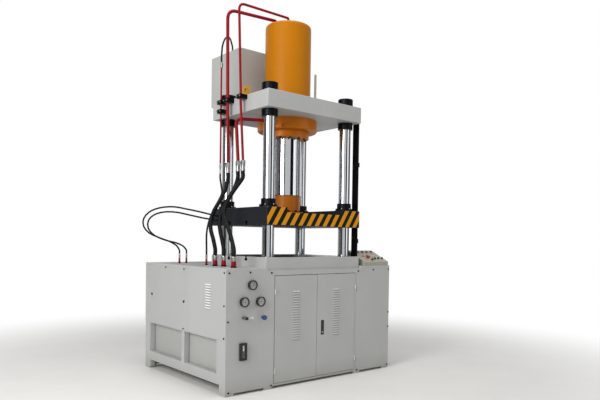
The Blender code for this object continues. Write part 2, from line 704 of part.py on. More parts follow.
def hose_fitting(x, y, size):
    """A bulkhead union and crimped ferrule that stands on the deck. size is the hose diameter."""
    low, nut, ferrule = DECK_Z - BITE, DECK_Z + FITTING_NUT_H, DECK_Z + FITTING_H
    wide, slim = size * 0.72, size * 0.60
    return turned("fitting", [(0, ferrule), (slim, ferrule), (slim, nut), (wide, nut), (wide, low), (0, low)],
                  (x, y, 0), FITTING_SIDES)


def cabinet_frame():
    """The welded frame: a box of tubes with a window on every side, a pocket for the bed, feet and a floor."""
    x0, x1 = CAB_LEFT + SHEET + CLEAR, CAB_RIGHT - SHEET - CLEAR
    y0, y1 = CAB_FRONT + SHEET + CLEAR, CAB_REAR - SHEET - CLEAR
    floor, under_top = FOOT_H + TUBE, CAB_H - TOP_RAIL
    through_top = (under_top - 0.014, CAB_H + 0.01)
    ix0, ix1, iy0, iy1 = x0 + TUBE, x1 - TUBE, y0 + TUBE, y1 - TUBE
    frame = box("cabinet_frame", (x0, x1), (y0, y1), (FOOT_H, CAB_H - CLEAR))
    cut(frame,
        box("inside", (ix0, ix1), (iy0, iy1), (floor, under_top)),
        box("under_floor", (ix0, ix1), (iy0, iy1), (FOOT_H - 0.01, floor - FLOOR_T)),
        box("bed_pocket", (-HALF_W - CLEAR, HALF_W + CLEAR), (-HALF_D - CLEAR, HALF_D + CLEAR),
            (BED_TOP - BED_T - CLEAR, CAB_H + 0.01)),
        box("under_bed", (LEDGE - HALF_W, HALF_W - LEDGE), (LEDGE - HALF_D, HALF_D - LEDGE),
            (under_top - 0.014, BED_TOP - BED_T + 0.016)),
        box("left_top", (ix0 + 0.01, -HALF_W - TUBE), (iy0 + 0.01, iy1 - 0.01), through_top),
        box("right_top", (HALF_W + TUBE, ix1 - 0.01), (iy0 + 0.01, iy1 - 0.01), through_top),
        box("rear_top", (-HALF_W, HALF_W), (HALF_D + TUBE, iy1 - 0.01), through_top))
    for y in ((CAB_FRONT + 0.131, SEAM_Y - 0.035), (SEAM_Y + 0.012, CAB_REAR - 0.098)):
        cut(frame, box("tank_window", (x0 - 0.01, ix0 + 0.01), y, (0.158, SEAM_Z - 0.010)))
    for y in ((iy0 + 0.01, SEAM_Y - TUBE), (SEAM_Y + TUBE, iy1 - 0.01)):
        cut(frame,
            box("cover_window", (x0 - 0.01, ix0 + 0.01), y, (SEAM_Z + 0.040, under_top - 0.01)),
            box("side_window", (ix1 - 0.01, x1 + 0.01), y, (floor + 0.01, under_top - 0.01)))
    for x in ((ix0 + 0.01, -TUBE), (TUBE, ix1 - 0.01)):
        cut(frame, box("rear_window", x, (iy1 - 0.01, y1 + 0.01), (floor + 0.01, under_top - 0.01)))
    front = (y0 - 0.01, iy0 + 0.01)
    cut(frame,
        box("gauge_window", (ix0 + 0.01, CAB_LEFT + GAUGE_PANEL_W - TUBE), front, (floor + 0.01, under_top)),
        box("door_opening", DOOR_OPENING, front, (DOOR_Z[0] - DOOR_GAP, DOOR_Z[1] + DOOR_GAP)),
        box("right_window", (CAB_RIGHT - RIGHT_PANEL_W + TUBE / 2, ix1 - 0.01), front,
            (floor + 0.01, under_top - 0.01)),
        box("kick", (x0 - 0.01, ix0 + 0.005), (CAB_FRONT + 0.090, CAB_REAR - 0.105), (FOOT_H - 0.02, 0.080)))
    for x in (x0, CAB_LEFT + 0.364, CAB_RIGHT - 0.458, x1 - FOOT_W):
        for y in (y0, y1 - FOOT_W):
            fuse(frame, box("foot", (x, x + FOOT_W), (y, y + FOOT_W), (0, FOOT_H + BITE)))
    for x, side in ((LEFT_HINGE_X, -1), (RIGHT_HINGE_X, 1)):
        for z in HINGE_Z:
            web = sorted((x + side * 0.0020, x + side * 0.0055))
            fuse(frame,
                 cylinder("knuckle", 2 * HINGE_R, (x, HINGE_Y), (z - HINGE_HALF, z), sides=SLIM_ROUND),
                 box("web", web, (HINGE_Y, y0 + BITE), (z - HINGE_HALF + 0.001, z - 0.001)))
    paint(frame, PAINT)


def oil_reservoir():
    x = (CAB_LEFT + RESERVOIR_IN, CAB_LEFT + RESERVOIR_IN + RESERVOIR_W)
    y = (CAB_FRONT + RESERVOIR_END, CAB_REAR - RESERVOIR_END)
    z = (FOOT_H + TUBE + CLEAR, RESERVOIR_TOP)
    tank = box("oil_reservoir", x, y, z)
    wall = RESERVOIR_WALL
    cut(tank, box("inside", (x[0] + wall, x[1] - wall), (y[0] + wall, y[1] - wall), (z[0] + wall, z[1] - wall)))
    cut(tank, cylinder("filler_hole", 0.100, (x[1] - 0.130, y[1] - 0.220), (z[1] - 0.02, z[1] + 0.02)))
    paint(tank, PAINT)


def louvre_prisms(place, turn, count, width, foot, depth, parent):
    """One wedge for each louvre, in one mesh, as deep as depth and sloping back up from foot, a (y, z) point."""
    mesh = bpy.data.meshes.new("louvres")
    shape = bmesh.new()
    slope = LOUVRE_H / LOUVRE_PROUD
    for row in range(count):
        for corner in bmesh.ops.create_cube(shape, size=1)["verts"]:
            corner.co.x *= width
            back = corner.co.y > 0
            up = back and corner.co.z > 0
            corner.co.y = foot[0] + (depth if back else 0)
            corner.co.z = row * LOUVRE_PITCH + foot[1] + (slope * depth if up else 0)
        bmesh.ops.remove_doubles(shape, verts=shape.verts, dist=0.00001)
    shape.to_mesh(mesh)
    shape.free()
    bank = new_object("louvres", mesh, place, parent)
    bank.rotation_euler.z = turn
    return bank


def louvres(panel, place, count, width, turn=0.0, parent=None):
    """Pressed louvres, open at the bottom. place is the middle of the lowest one, on the panel's face."""
    outer = louvre_prisms(place, turn, count, width, (-LOUVRE_PROUD, 0), LOUVRE_PROUD + BITE, parent)
    inner = louvre_prisms(place, turn, count, width - 2 * LOUVRE_WALL, (LOUVRE_WALL - LOUVRE_PROUD, -BITE),
                          LOUVRE_PROUD + SHEET, parent)
    cut(fuse(panel, outer), inner)


def sheet(name, x, y, z, parent=None):
    return paint(box(name, x, y, z, parent), PAINT)


def side_panels():
    """The sheet covers of the cabinet: two on the left side, one on the right and one at the rear."""
    top = CAB_H - CLEAR
    left = (CAB_LEFT, CAB_LEFT + SHEET)
    front_edge = CAB_FRONT + SHEET + CLEAR
    rear_cover = sheet("left_cover_rear", left, (SEAM_Y + 0.0005, CAB_REAR), (SEAM_Z, top))
    run = (CAB_LEFT - LOCK_H, CAB_LEFT + BITE)
    rear_lock = (CAB_REAR - REAR_LOCK[0], CAB_H - REAR_LOCK[1])
    fuse(rear_cover, cylinder("lock", LOCK_D, rear_lock, run, "X", SLIM_ROUND))
    front_cover = sheet("left_cover_front", left, (front_edge, SEAM_Y - 0.0005), (SEAM_Z, top))
    front_lock = (SEAM_Y - FRONT_LOCK[0], CAB_H - FRONT_LOCK[1])
    fuse(front_cover, cylinder("lock", LOCK_D, front_lock, run, "X", SLIM_ROUND))
    louvres(front_cover, (CAB_LEFT, CAB_FRONT + COVER_LOUVRES_IN, CAB_H - COVER_LOUVRES_DOWN), COVER_LOUVRES,
            COVER_LOUVRE_W, -math.pi / 2)
    sheet("right_cover", (CAB_RIGHT - SHEET, CAB_RIGHT), (front_edge, CAB_REAR), (FOOT_H, top))
    sheet("rear_cover", (CAB_LEFT + SHEET + CLEAR, CAB_RIGHT - SHEET - CLEAR), (CAB_REAR - SHEET, CAB_REAR),
          (FOOT_H, top))


def gauge_panel():
    panel = sheet("gauge_panel", (CAB_LEFT, CAB_LEFT + GAUGE_PANEL_W), (CAB_FRONT, CAB_FRONT + SHEET),
                  (FOOT_H, CAB_H - CLEAR))
    for x, z in GAUGE_PLACES.values():
        cut(panel, cylinder("gauge_hole", GAUGE_BODY_D + 2 * CLEAR, (x, z),
                            (CAB_FRONT - 0.01, CAB_FRONT + 0.01), "Y", SMALL_ROUND))
    fuse(panel,
         cylinder("cock_body", COCK_D + 0.004, VALVE_AT, (CAB_FRONT - VALVE_STEM, CAB_FRONT + BITE), "Y",
                  SLIM_ROUND),
         cylinder("knob_boss", COCK_D, KNOB_AT, (CAB_FRONT - KNOB_BOSS, CAB_FRONT + BITE), "Y", SLIM_ROUND))


def right_front_panel():
    sheet("right_front_panel", (CAB_RIGHT - RIGHT_PANEL_W, CAB_RIGHT), (CAB_FRONT, CAB_FRONT + SHEET),
          (FOOT_H, CAB_H - CLEAR))


def deck_covers():
    """Folded covers on top of the cabinet, on three sides of the bed."""
    edge = HALF_W + 0.001
    low, high = CAB_H, DECK_Z
    inner = (low - 0.01, high - SHEET)
    left = sheet("left_deck_cover", (CAB_LEFT, -edge), (CAB_FRONT, CAB_REAR), (low, high))
    cut(left, box("under", (CAB_LEFT + SHEET, -edge - SHEET), (CAB_FRONT + SHEET, CAB_REAR - SHEET), inner))
    for x, y, size in DECK_FITTINGS.values():
        fuse(left, hose_fitting(x, y, size))
    behind = HALF_D + 0.001
    rear = sheet("rear_deck_cover", (CLEAR - edge, CAB_RIGHT), (behind, CAB_REAR), (low, high))
    fuse(rear, box("wing", (edge, CAB_RIGHT), (CAB_FRONT, behind + SHEET), (low, high)))
    cut(rear,
        box("under", (CLEAR - edge + SHEET, CAB_RIGHT - SHEET), (behind + SHEET, CAB_REAR - SHEET), inner),
        box("under_wing", (edge + SHEET, CAB_RIGHT - SHEET), (CAB_FRONT + SHEET, behind + 2 * SHEET), inner))


def door(name, side, hinge_x, louvres_in):
    """A folded door that hangs on its hinge axis. side is 1 where the door reaches towards +X."""
    hinge = pivot(f"{name}_hinge", (hinge_x, HINGE_Y, 0), AXIS)
    face = CAB_FRONT - HINGE_Y
    near, far = side * HINGE_IN, side * (HINGE_IN + DOOR_W)
    skin = side * DOOR_SHEET
    pan = sheet(name, sorted((near, far)), (face, face + DOOR_DEPTH), DOOR_Z, hinge)
    cut(pan, box("inside", sorted((near + skin, far - skin)), (face + DOOR_SHEET, face + DOOR_DEPTH + 0.01),
                 (DOOR_Z[0] + DOOR_SHEET, DOOR_Z[1] - DOOR_SHEET), hinge))
    louvres(pan, (side * louvres_in, face, DOOR_Z[1] - DOOR_LOUVRES_DOWN), DOOR_LOUVRES, DOOR_LOUVRE_W,
            parent=hinge)
    for z in HINGE_Z:
        height = (z + CLEAR, z + HINGE_HALF)
        fuse(pan,
             cylinder("knuckle", 2 * HINGE_R, (0, 0), height, sides=SLIM_ROUND, parent=hinge),
             box("leaf", sorted((0, side * 0.0145)), (0.001, face + BITE),
                 (height[0] + 0.001, height[1] - 0.001), hinge))
    return pan, hinge


def doors():
    door("left_door", 1, LEFT_HINGE_X, DOOR_LOUVRES_IN[0])
    pan, hinge = door("right_door", -1, RIGHT_HINGE_X, DOOR_LOUVRES_IN[1])
    latch(pan, hinge)


def latch(pan, hinge):
    """A flush pull latch: a pocket in the right door, and the handle that swings out of it."""
    x, low, high = HANDLE_X - RIGHT_HINGE_X, HANDLE_Z, HANDLE_Z + HANDLE_H
    half = HANDLE_W / 2
    face = CAB_FRONT - HINGE_Y
    back = face + 0.017
    fuse(pan, box("pocket_wall", (x - half - 0.004, x + half + 0.004), (face + BITE / 2, back + 0.0015),
                  (low - 0.006, high + 0.006), hinge))
    cut(pan, box("pocket", (x - half - CLEAR, x + half + CLEAR), (face - 0.01, back),
                 (low - 0.0025, high + 0.0025), hinge))
    turn = pivot("door_handle_axis", (x, face + 0.006, low + 0.008), hinge)
    handle = box("door_handle", (-half, half), (-HANDLE_T / 2, HANDLE_T / 2), (-0.008, HANDLE_H - 0.008), turn)
    chamfer(handle, 0.0015)
    paint(handle, BLACK)


def gauges():
    """Pressure gauges with a recessed dial, each in its hole in the gauge panel."""
    rim, dial, body = GAUGE_D / 2, GAUGE_D / 2 - GAUGE_RIM, GAUGE_BODY_D / 2
    profile = [(0, GAUGE_PROUD - GAUGE_RIM), (dial, GAUGE_PROUD - GAUGE_RIM), (dial, GAUGE_PROUD),
               (rim, GAUGE_PROUD), (rim, 0), (body, 0), (body, -GAUGE_BODY_H), (0, -GAUGE_BODY_H)]
    for use, (x, z) in GAUGE_PLACES.items():
        paint(turned(f"{use}_pressure_gauge", profile, (x, CAB_FRONT - CLEAR, z), SMALL_ROUND, "Y"), BLACK)


def level_gauge():
    """The sight glass's frame, with a recess for the tube."""
    x, z = (CAB_LEFT + LEVEL_IN, CAB_LEFT + LEVEL_IN + LEVEL_W), LEVEL_Z
    frame = box("oil_level_gauge", x, (CAB_FRONT - CLEAR - LEVEL_DEPTH, CAB_FRONT - CLEAR), z)
    chamfer(frame, 0.003)
    middle = sum(x) / 2
    face = CAB_FRONT - CLEAR - LEVEL_DEPTH
    cut(frame, box("window", (middle - 0.013, middle + 0.013), (face - 0.01, face + 0.012),
                   (z[0] + 0.018, z[1] - 0.018)))
    paint(frame, BLACK_PLASTIC)


def panel_valves():
    """The gauge cock's lever and the needle valve's knob, each on its stem's axis."""
    cock = pivot("cock_axis", (VALVE_AT[0], CAB_FRONT - VALVE_STEM - CLEAR, VALVE_AT[1]), AXIS)
    middle = -COCK_HUB_T / 2
    lever = cylinder("gauge_cock_lever", COCK_D, (0, 0), (-COCK_HUB_T, 0), "Y", SLIM_ROUND, cock)
    fuse(lever, cylinder("arm", 0.008, (middle, 0), (0.005, COCK_ARM - 0.004), "X", 8, cock))
    ball = bpy.data.meshes.new("ball")
    shape = bmesh.new()
    bmesh.ops.create_uvsphere(shape, u_segments=8, v_segments=6, radius=COCK_BALL_D / 2)
    shape.to_mesh(ball)
    shape.free()
    fuse(lever, new_object("ball", ball, (COCK_ARM, middle, 0), cock))
    paint(lever, BLACK)
    stem = pivot("needle_valve_axis", (KNOB_AT[0], CAB_FRONT - KNOB_BOSS - CLEAR, KNOB_AT[1]), AXIS)
    rim, neck, edge = KNOB_D / 2, COCK_D / 2 - 0.002, 0.003
    profile = [(0, KNOB_H), (rim - edge, KNOB_H), (rim, KNOB_H - edge), (rim, 0.006), (neck, 0.006), (neck, 0),
               (0, 0)]
    knob = turned("needle_valve_knob", profile, (0, 0, 0), SMALL_ROUND, "Y", stem)
    paint(knob, BLUE_PLASTIC)


def wedge(name, x, y, low, front, rear):
    """A block with a sloping top, lower at the front."""
    made = box(name, x, y, (low, rear))
    for corner in made.data.vertices:
        if corner.co.z > 0 and corner.co.y < 0:
            corner.co.z -= rear - front
    return made


def console():
    """The control desk on the right of the deck, with its push buttons and the mushroom stop button."""
    front, rear = DECK_Z + CONSOLE_FRONT_H, DECK_Z + CONSOLE_REAR_H
    y = (CONSOLE_Y, CONSOLE_Y + CONSOLE_D)
    desk = wedge("control_console", CONSOLE_X, y, DECK_Z + CLEAR, front, rear)
    cut(desk, wedge("inside", (CONSOLE_X[0] + SHEET, CONSOLE_X[1] - SHEET), (y[0] + SHEET, y[1] - SHEET),
                    DECK_Z - 0.02, front - SHEET, rear - SHEET))
    face = pivot("console_face", (CONSOLE_X[0], CONSOLE_Y, front), AXIS, (CONSOLE_SLOPE, 0, 0))
    stem = BUTTON_D * 0.4
    for name, (x, y, head_d, height, under) in BUTTONS.items():
        head = head_d / 2
        cut(desk, cylinder("hole", 2 * (stem + CLEAR), (x, y), (-0.012, 0.01), sides=SLIM_ROUND, parent=face))
        axis = pivot(f"{name}_axis", (x, y, 0), face)
        profile = [(0, height), (head - 0.002, height), (head, height - 0.002), (head, under), (stem, under),
                   (stem, -0.014), (0, -0.014)]
        paint(turned(name, profile, (0, 0, 0), SLIM_ROUND, parent=axis),
              RED_PLASTIC if name == "emergency_button" else BLACK_PLASTIC)
    paint(desk, PAINT)


def limit_rail():
    """The upright bar at the right of the press with the two proximity sensors that watch the slide's flag."""
    x = HALF_W + RAIL_STANDOFF
    y = (RAIL_Y - RAIL_W / 2, RAIL_Y + RAIL_W / 2)
    low, high = DECK_Z + RAIL_FOOT, CROWN_TOP - RAIL_HEAD
    rail = box("limit_sensor_rail", (x, x + RAIL_T), y, (low, high))
    for z in ((low + 0.015, low + 0.055), (high - 0.080, high - 0.020)):
        fuse(rail, box("standoff", (HALF_W + CLEAR, x + BITE), y, z))
    for z in SENSOR_Z:
        middle = x + RAIL_T + SENSOR_BLOCK / 3
        fuse(rail,
             box("sensor_block", (x + RAIL_T - BITE, middle + SENSOR_BLOCK / 3),
                 (RAIL_Y - SENSOR_BLOCK / 2, RAIL_Y + SENSOR_BLOCK / 2),
                 (z - SENSOR_BLOCK / 2, z + SENSOR_BLOCK / 2)),
             cylinder("sensor", SENSOR_D, (middle, z), (RAIL_Y + 0.019, SENSOR_TIP_Y), "Y", SLIM_ROUND))
    paint(rail, BLACK)


def slide():
    block = box("slide", (-HALF_W, HALF_W), (-HALF_D, HALF_D), (SLIDE_BOTTOM, SLIDE_TOP), SLIDE_AXIS)
    chamfer(block, 0.003)
    inner = HALF_W - SLIDE_PAD_W
    cut(block, box("step", (-inner, inner), (-HALF_D - 0.01, HALF_D + 0.01), (SLIDE_SEAT, SLIDE_TOP + 0.01),
                   SLIDE_AXIS))
    column_holes(block, BUSH_D + 2 * CLEAR, SLIDE_BOTTOM - 0.01, SLIDE_TOP + 0.01, SLIDE_AXIS)
    t_slots(block, SLIDE_BOTTOM, 1, SLIDE_AXIS)
    cut(block, cylinder("eyebolt_hole", 0.018, (-0.129, SLIDE_BOTTOM + EYEBOLT_UP),
                        (-HALF_W - 0.01, -HALF_W + 0.030), "X", SLIM_ROUND, SLIDE_AXIS))
    flag_y = SENSOR_TIP_Y + SENSOR_GAP
    fuse(block, box("flag", (HALF_W - BITE, HALF_W + FLAG_X), (flag_y, flag_y + FLAG_T),
                    (FLAG_Z - FLAG_H / 2, FLAG_Z + FLAG_H / 2), SLIDE_AXIS))
    paint(block, CHARCOAL)


def ram():
    piston, rod, edge = BORE_D / 2 - CLEAR, RAM_D / 2, 0.004
    low = SLIDE_SEAT + CLEAR + FOOT_FLANGE_T + FOOT_NECK_H + CLEAR
    high = low + RAM_LENGTH
    profile = [(0, high), (piston - edge, high), (piston, high - edge), (piston, high - PISTON_H),
               (rod, high - PISTON_H), (rod, low), (0, low)]
    paint(turned("ram", profile, (0, 0, 0), BIG_ROUND, parent=SLIDE_AXIS), CHROME)


def ram_foot():
    neck, flange, edge = FOOT_NECK_D / 2, FOOT_FLANGE_D / 2, 0.004
    low = SLIDE_SEAT + CLEAR
    shoulder, high = low + FOOT_FLANGE_T, low + FOOT_FLANGE_T + FOOT_NECK_H
    profile = [(0, high), (neck, high), (neck, shoulder), (flange - edge, shoulder), (flange, shoulder - edge),
               (flange, low), (0, low)]
    paint(turned("ram_foot", profile, (0, 0, 0), BIG_ROUND, parent=SLIDE_AXIS), ORANGE)


def guide_bushes():
    bore, body, flange, nose = COLUMN_D / 2 + CLEAR, BUSH_D / 2, BUSH_FLANGE_D / 2, BUSH_NOSE_D / 2
    seat = SLIDE_TOP + CLEAR
    shoulder, high = seat + BUSH_FLANGE_T, seat + BUSH_FLANGE_T + BUSH_NOSE_H
    profile = [(nose, high), (nose, shoulder), (flange, shoulder), (flange, seat), (body, seat),
               (body, SLIDE_BOTTOM + 0.001), (bore, SLIDE_BOTTOM + 0.001), (bore, high)]
    for corner, place in COLUMNS.items():
        paint(turned(f"guide_bush_{corner}", profile, (*place, 0), parent=SLIDE_AXIS), BLACK)


def pipes():
    """The rigid red pipes. Each ends below in a union and ferrule, where its hose starts."""
    run_z = BARREL_TOP + PORT_H + 0.029
    port = BARREL_TOP + PORT_H + CLEAR
    for name, diameter, foot_y, clamp_y, top_y, high, at, bend in (
            ("main_pressure_pipe", MAIN_PIPE_D, 0.087, PIPE_Y["main"], 0.118, run_z, PORT_A, 0.085),
            ("fast_approach_pipe", FAST_PIPE_D, -0.140, PIPE_Y["fast"], -0.055, run_z + 0.004, PORT_B, 0.060)):
        route = bent([(PIPE_X, foot_y, UNION_Z), (PIPE_X, clamp_y, CLAMP_Z - CLAMP_H),
                      (PIPE_X, clamp_y, CLAMP_Z + CLAMP_H), (PIPE_X, top_y, high),
                      (*at, high), (*at, port)], bend)
        tube(name, union(route[0], diameter, THICK_HOSE) + route[1:], diameter / 2, RED_PIPE)
    y, top = PIPE_Y["pilot"], PILOT_TOP
    route = union((PIPE_X, y, UNION_Z), PILOT_PIPE_D, THIN_HOSE)
    route += [(PIPE_X, y, top), (PIPE_X, y, top, 1.6), (PIPE_X, y, top + PILOT_END_H, 1.6)]
    tube("pilot_pipe", stepped(route), PILOT_PIPE_D / 2, RED_PIPE)
    route = bent([(PIPE_X, -0.067, UNION_Z), (PIPE_X, -0.030, RING_PORT_Z), (-0.360, RING_PORT_Y, RING_PORT_Z),
                  (RING_PORT_X - CLEAR, RING_PORT_Y, RING_PORT_Z)], 0.050)
    tube("return_pipe", union(route[0], RETURN_PIPE_D, THICK_HOSE) + route[1:], RETURN_PIPE_D / 2, RED_PIPE)


def union(foot, pipe, hose):
    """The ferrule at a pipe's lower end, as route points with a radius factor. It is wider than its hose."""
    x, y, z = foot
    factor = UNION_OVER_HOSE * hose / pipe
    return stepped([(x, y, z - UNION_H, factor), (x, y, z, factor), (x, y, z, 1)])


def stepped(route):
    """Sets apart the two points of each step in radius, which would else lie in one place."""
    apart = []
    for point in route:
        if apart and tuple(apart[-1][:3]) == tuple(point[:3]):
            point = (point[0], point[1], point[2] + BITE / 10, *point[3:])
        apart.append(point)
    return apart


def hoses():
    """Free hoses. Their points are chosen by hand, through the places where the photograph shows them."""
    for name, (diameter, points) in HOSE_ROUTES.items():
        tube(name, hose_route(points, diameter), diameter / 2, HOSE, 2)


def pump_motor():
    """The electric motor with its feet, bell housing, pump, fan cowl and terminal box."""
    x, z, floor = MOTOR_X, MOTOR_Z, FOOT_H + TUBE + CLEAR
    front, back = MOTOR_Y
    nose = front - BELL_L
    motor = cylinder("pump_motor", MOTOR_D, (x, z), MOTOR_Y, "Y")
    fuse(motor,
         box("feet", (x - 0.105, x + 0.105), (front + 0.040, back - 0.040), (floor, z - 0.7 * MOTOR_D / 2)),
         cylinder("cowl", MOTOR_D - 0.010, (x, z), (back - BITE, back + COWL_L), "Y"),
         cylinder("bell", BELL_D, (x, z), (nose, front + BITE), "Y"),
         cylinder("pump", PUMP_D, (x, z), (nose - PUMP_L, nose + BITE), "Y", SLIM_ROUND),
         box("terminal_box", (x - 0.050, x + 0.050), (front + 0.130, front + 0.250),
             (z + MOTOR_D / 2 - 0.020, z + MOTOR_D / 2 + 0.050)))
    paint(motor, MOTOR_PAINT)


def valve_manifold():
    """The valve block on the reservoir, with three solenoid valves."""
    low = RESERVOIR_TOP + CLEAR
    high = low + MANIFOLD_H
    left, right = CAB_LEFT + MANIFOLD_IN[0], CAB_LEFT + MANIFOLD_IN[1]
    block = box("valve_manifold", (left, right), (-0.200, 0.200), (low, high))
    for y in (-VALVE_PITCH, 0.0, VALVE_PITCH):
        fuse(block,
             box("valve", (left + 0.050, right - 0.060), (y - 0.035, y + 0.035), (high - BITE, high + 0.070)),
             cylinder("solenoid", 0.052, (y, high + 0.035), (left - 0.020, right + 0.020), "X", FITTING_SIDES))
    paint(block, STEEL)


bed()
crown()
columns()
crown_nuts()
cylinder_barrel()
lock_ring()
gland_ring()
filling_tank()
cabinet_frame()
oil_reservoir()
pump_motor()
valve_manifold()
side_panels()
gauge_panel()
right_front_panel()
deck_covers()
doors()
gauges()
level_gauge()
panel_valves()
console()
limit_rail()
slide()
ram()
ram_foot()
guide_bushes()
pipes()
hoses()
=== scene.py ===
"""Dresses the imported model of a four-column hydraulic press for its photograph.

Sizes and places are metres. They are measured from the press axis, the upright line midway between the four
columns, with the front of the machine towards -Y. A piece moves to the frame's own origin when it is finished.
"""
import math

import bmesh
import bpy
from mathutils import Matrix, Vector


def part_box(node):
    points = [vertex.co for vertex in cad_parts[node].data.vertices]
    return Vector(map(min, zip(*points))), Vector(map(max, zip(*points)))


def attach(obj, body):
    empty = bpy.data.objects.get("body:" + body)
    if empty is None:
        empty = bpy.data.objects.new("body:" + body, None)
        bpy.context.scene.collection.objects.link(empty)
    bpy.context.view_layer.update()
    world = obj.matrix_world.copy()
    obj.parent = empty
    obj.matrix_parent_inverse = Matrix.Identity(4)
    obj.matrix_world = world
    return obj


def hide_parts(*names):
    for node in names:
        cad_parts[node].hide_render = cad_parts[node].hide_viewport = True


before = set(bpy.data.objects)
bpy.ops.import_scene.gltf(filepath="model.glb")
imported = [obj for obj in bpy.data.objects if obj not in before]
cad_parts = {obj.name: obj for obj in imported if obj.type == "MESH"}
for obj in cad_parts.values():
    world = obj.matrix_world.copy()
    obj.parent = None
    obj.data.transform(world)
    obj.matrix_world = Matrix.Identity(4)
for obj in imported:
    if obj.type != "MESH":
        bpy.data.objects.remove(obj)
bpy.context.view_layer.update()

# Camera
# The press is seen from its front left corner, from about chest height, with a slightly long lens.
# The upward shift keeps the columns parallel while the cylinder's top stays in the picture.
BED_LOW, BED_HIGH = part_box("bed")
AXIS = Vector(((BED_LOW.x + BED_HIGH.x) / 2, (BED_LOW.y + BED_HIGH.y) / 2, 0))
CAMERA_AT = Vector((-3.3059, -4.1752, 1.1957))
CAMERA_YAW, CAMERA_PITCH, CAMERA_ROLL = (math.radians(turn) for turn in (-39.7961, -1.2175, 0.8243))
SENSOR_WIDTH = 36.0
PICTURE_WIDTH = 600
FOCAL_PIXELS = 586.77
HORIZON_SHIFT = 52.59


def placed(name, data):
    """A new object in the scene."""
    made = bpy.data.objects.new(name, data)
    bpy.context.scene.collection.objects.link(made)
    return made


def photograph_camera():
    """The camera that took the photograph, as its vanishing lines give it."""
    ahead = Vector((-math.sin(CAMERA_YAW) * math.cos(CAMERA_PITCH),
                    math.cos(CAMERA_YAW) * math.cos(CAMERA_PITCH), math.sin(CAMERA_PITCH)))
    right = Vector((math.cos(CAMERA_YAW), math.sin(CAMERA_YAW), 0))
    up = right.cross(ahead)
    side = right * math.cos(CAMERA_ROLL) + up * math.sin(CAMERA_ROLL)
    top = up * math.cos(CAMERA_ROLL) - right * math.sin(CAMERA_ROLL)
    lens = bpy.data.cameras.new("photograph_camera")
    lens.sensor_width = SENSOR_WIDTH
    lens.lens = SENSOR_WIDTH * FOCAL_PIXELS / PICTURE_WIDTH
    lens.shift_y = HORIZON_SHIFT / PICTURE_WIDTH
    camera = placed("photograph_camera", lens)
    camera.matrix_world = (Matrix.Translation(CAMERA_AT + AXIS)
                           @ Matrix((side, top, -ahead)).transposed().to_4x4())
    bpy.context.scene.camera = camera


photograph_camera()

# Hoses
# Steel-braided hydraulic hose with a black rubber cover, cured in a cloth wrap that leaves a fine weave on it.
# Four hang from the rigid pipes down to the deck, two loop back to the slide and a thin one feeds the tank.
PIPE_X = -0.570
HOSE_TOP = 1.7597
HOSE_FOOT = 1.0583
SLIDE_SIDE = -0.5228
THICK_HOSE = 0.034
THIN_HOSE = 0.016
LOOP_HOSE = 0.015
HOSE_RINGS = 38
HOSE_SIDES = 28
WEAVE_THREADS = 36
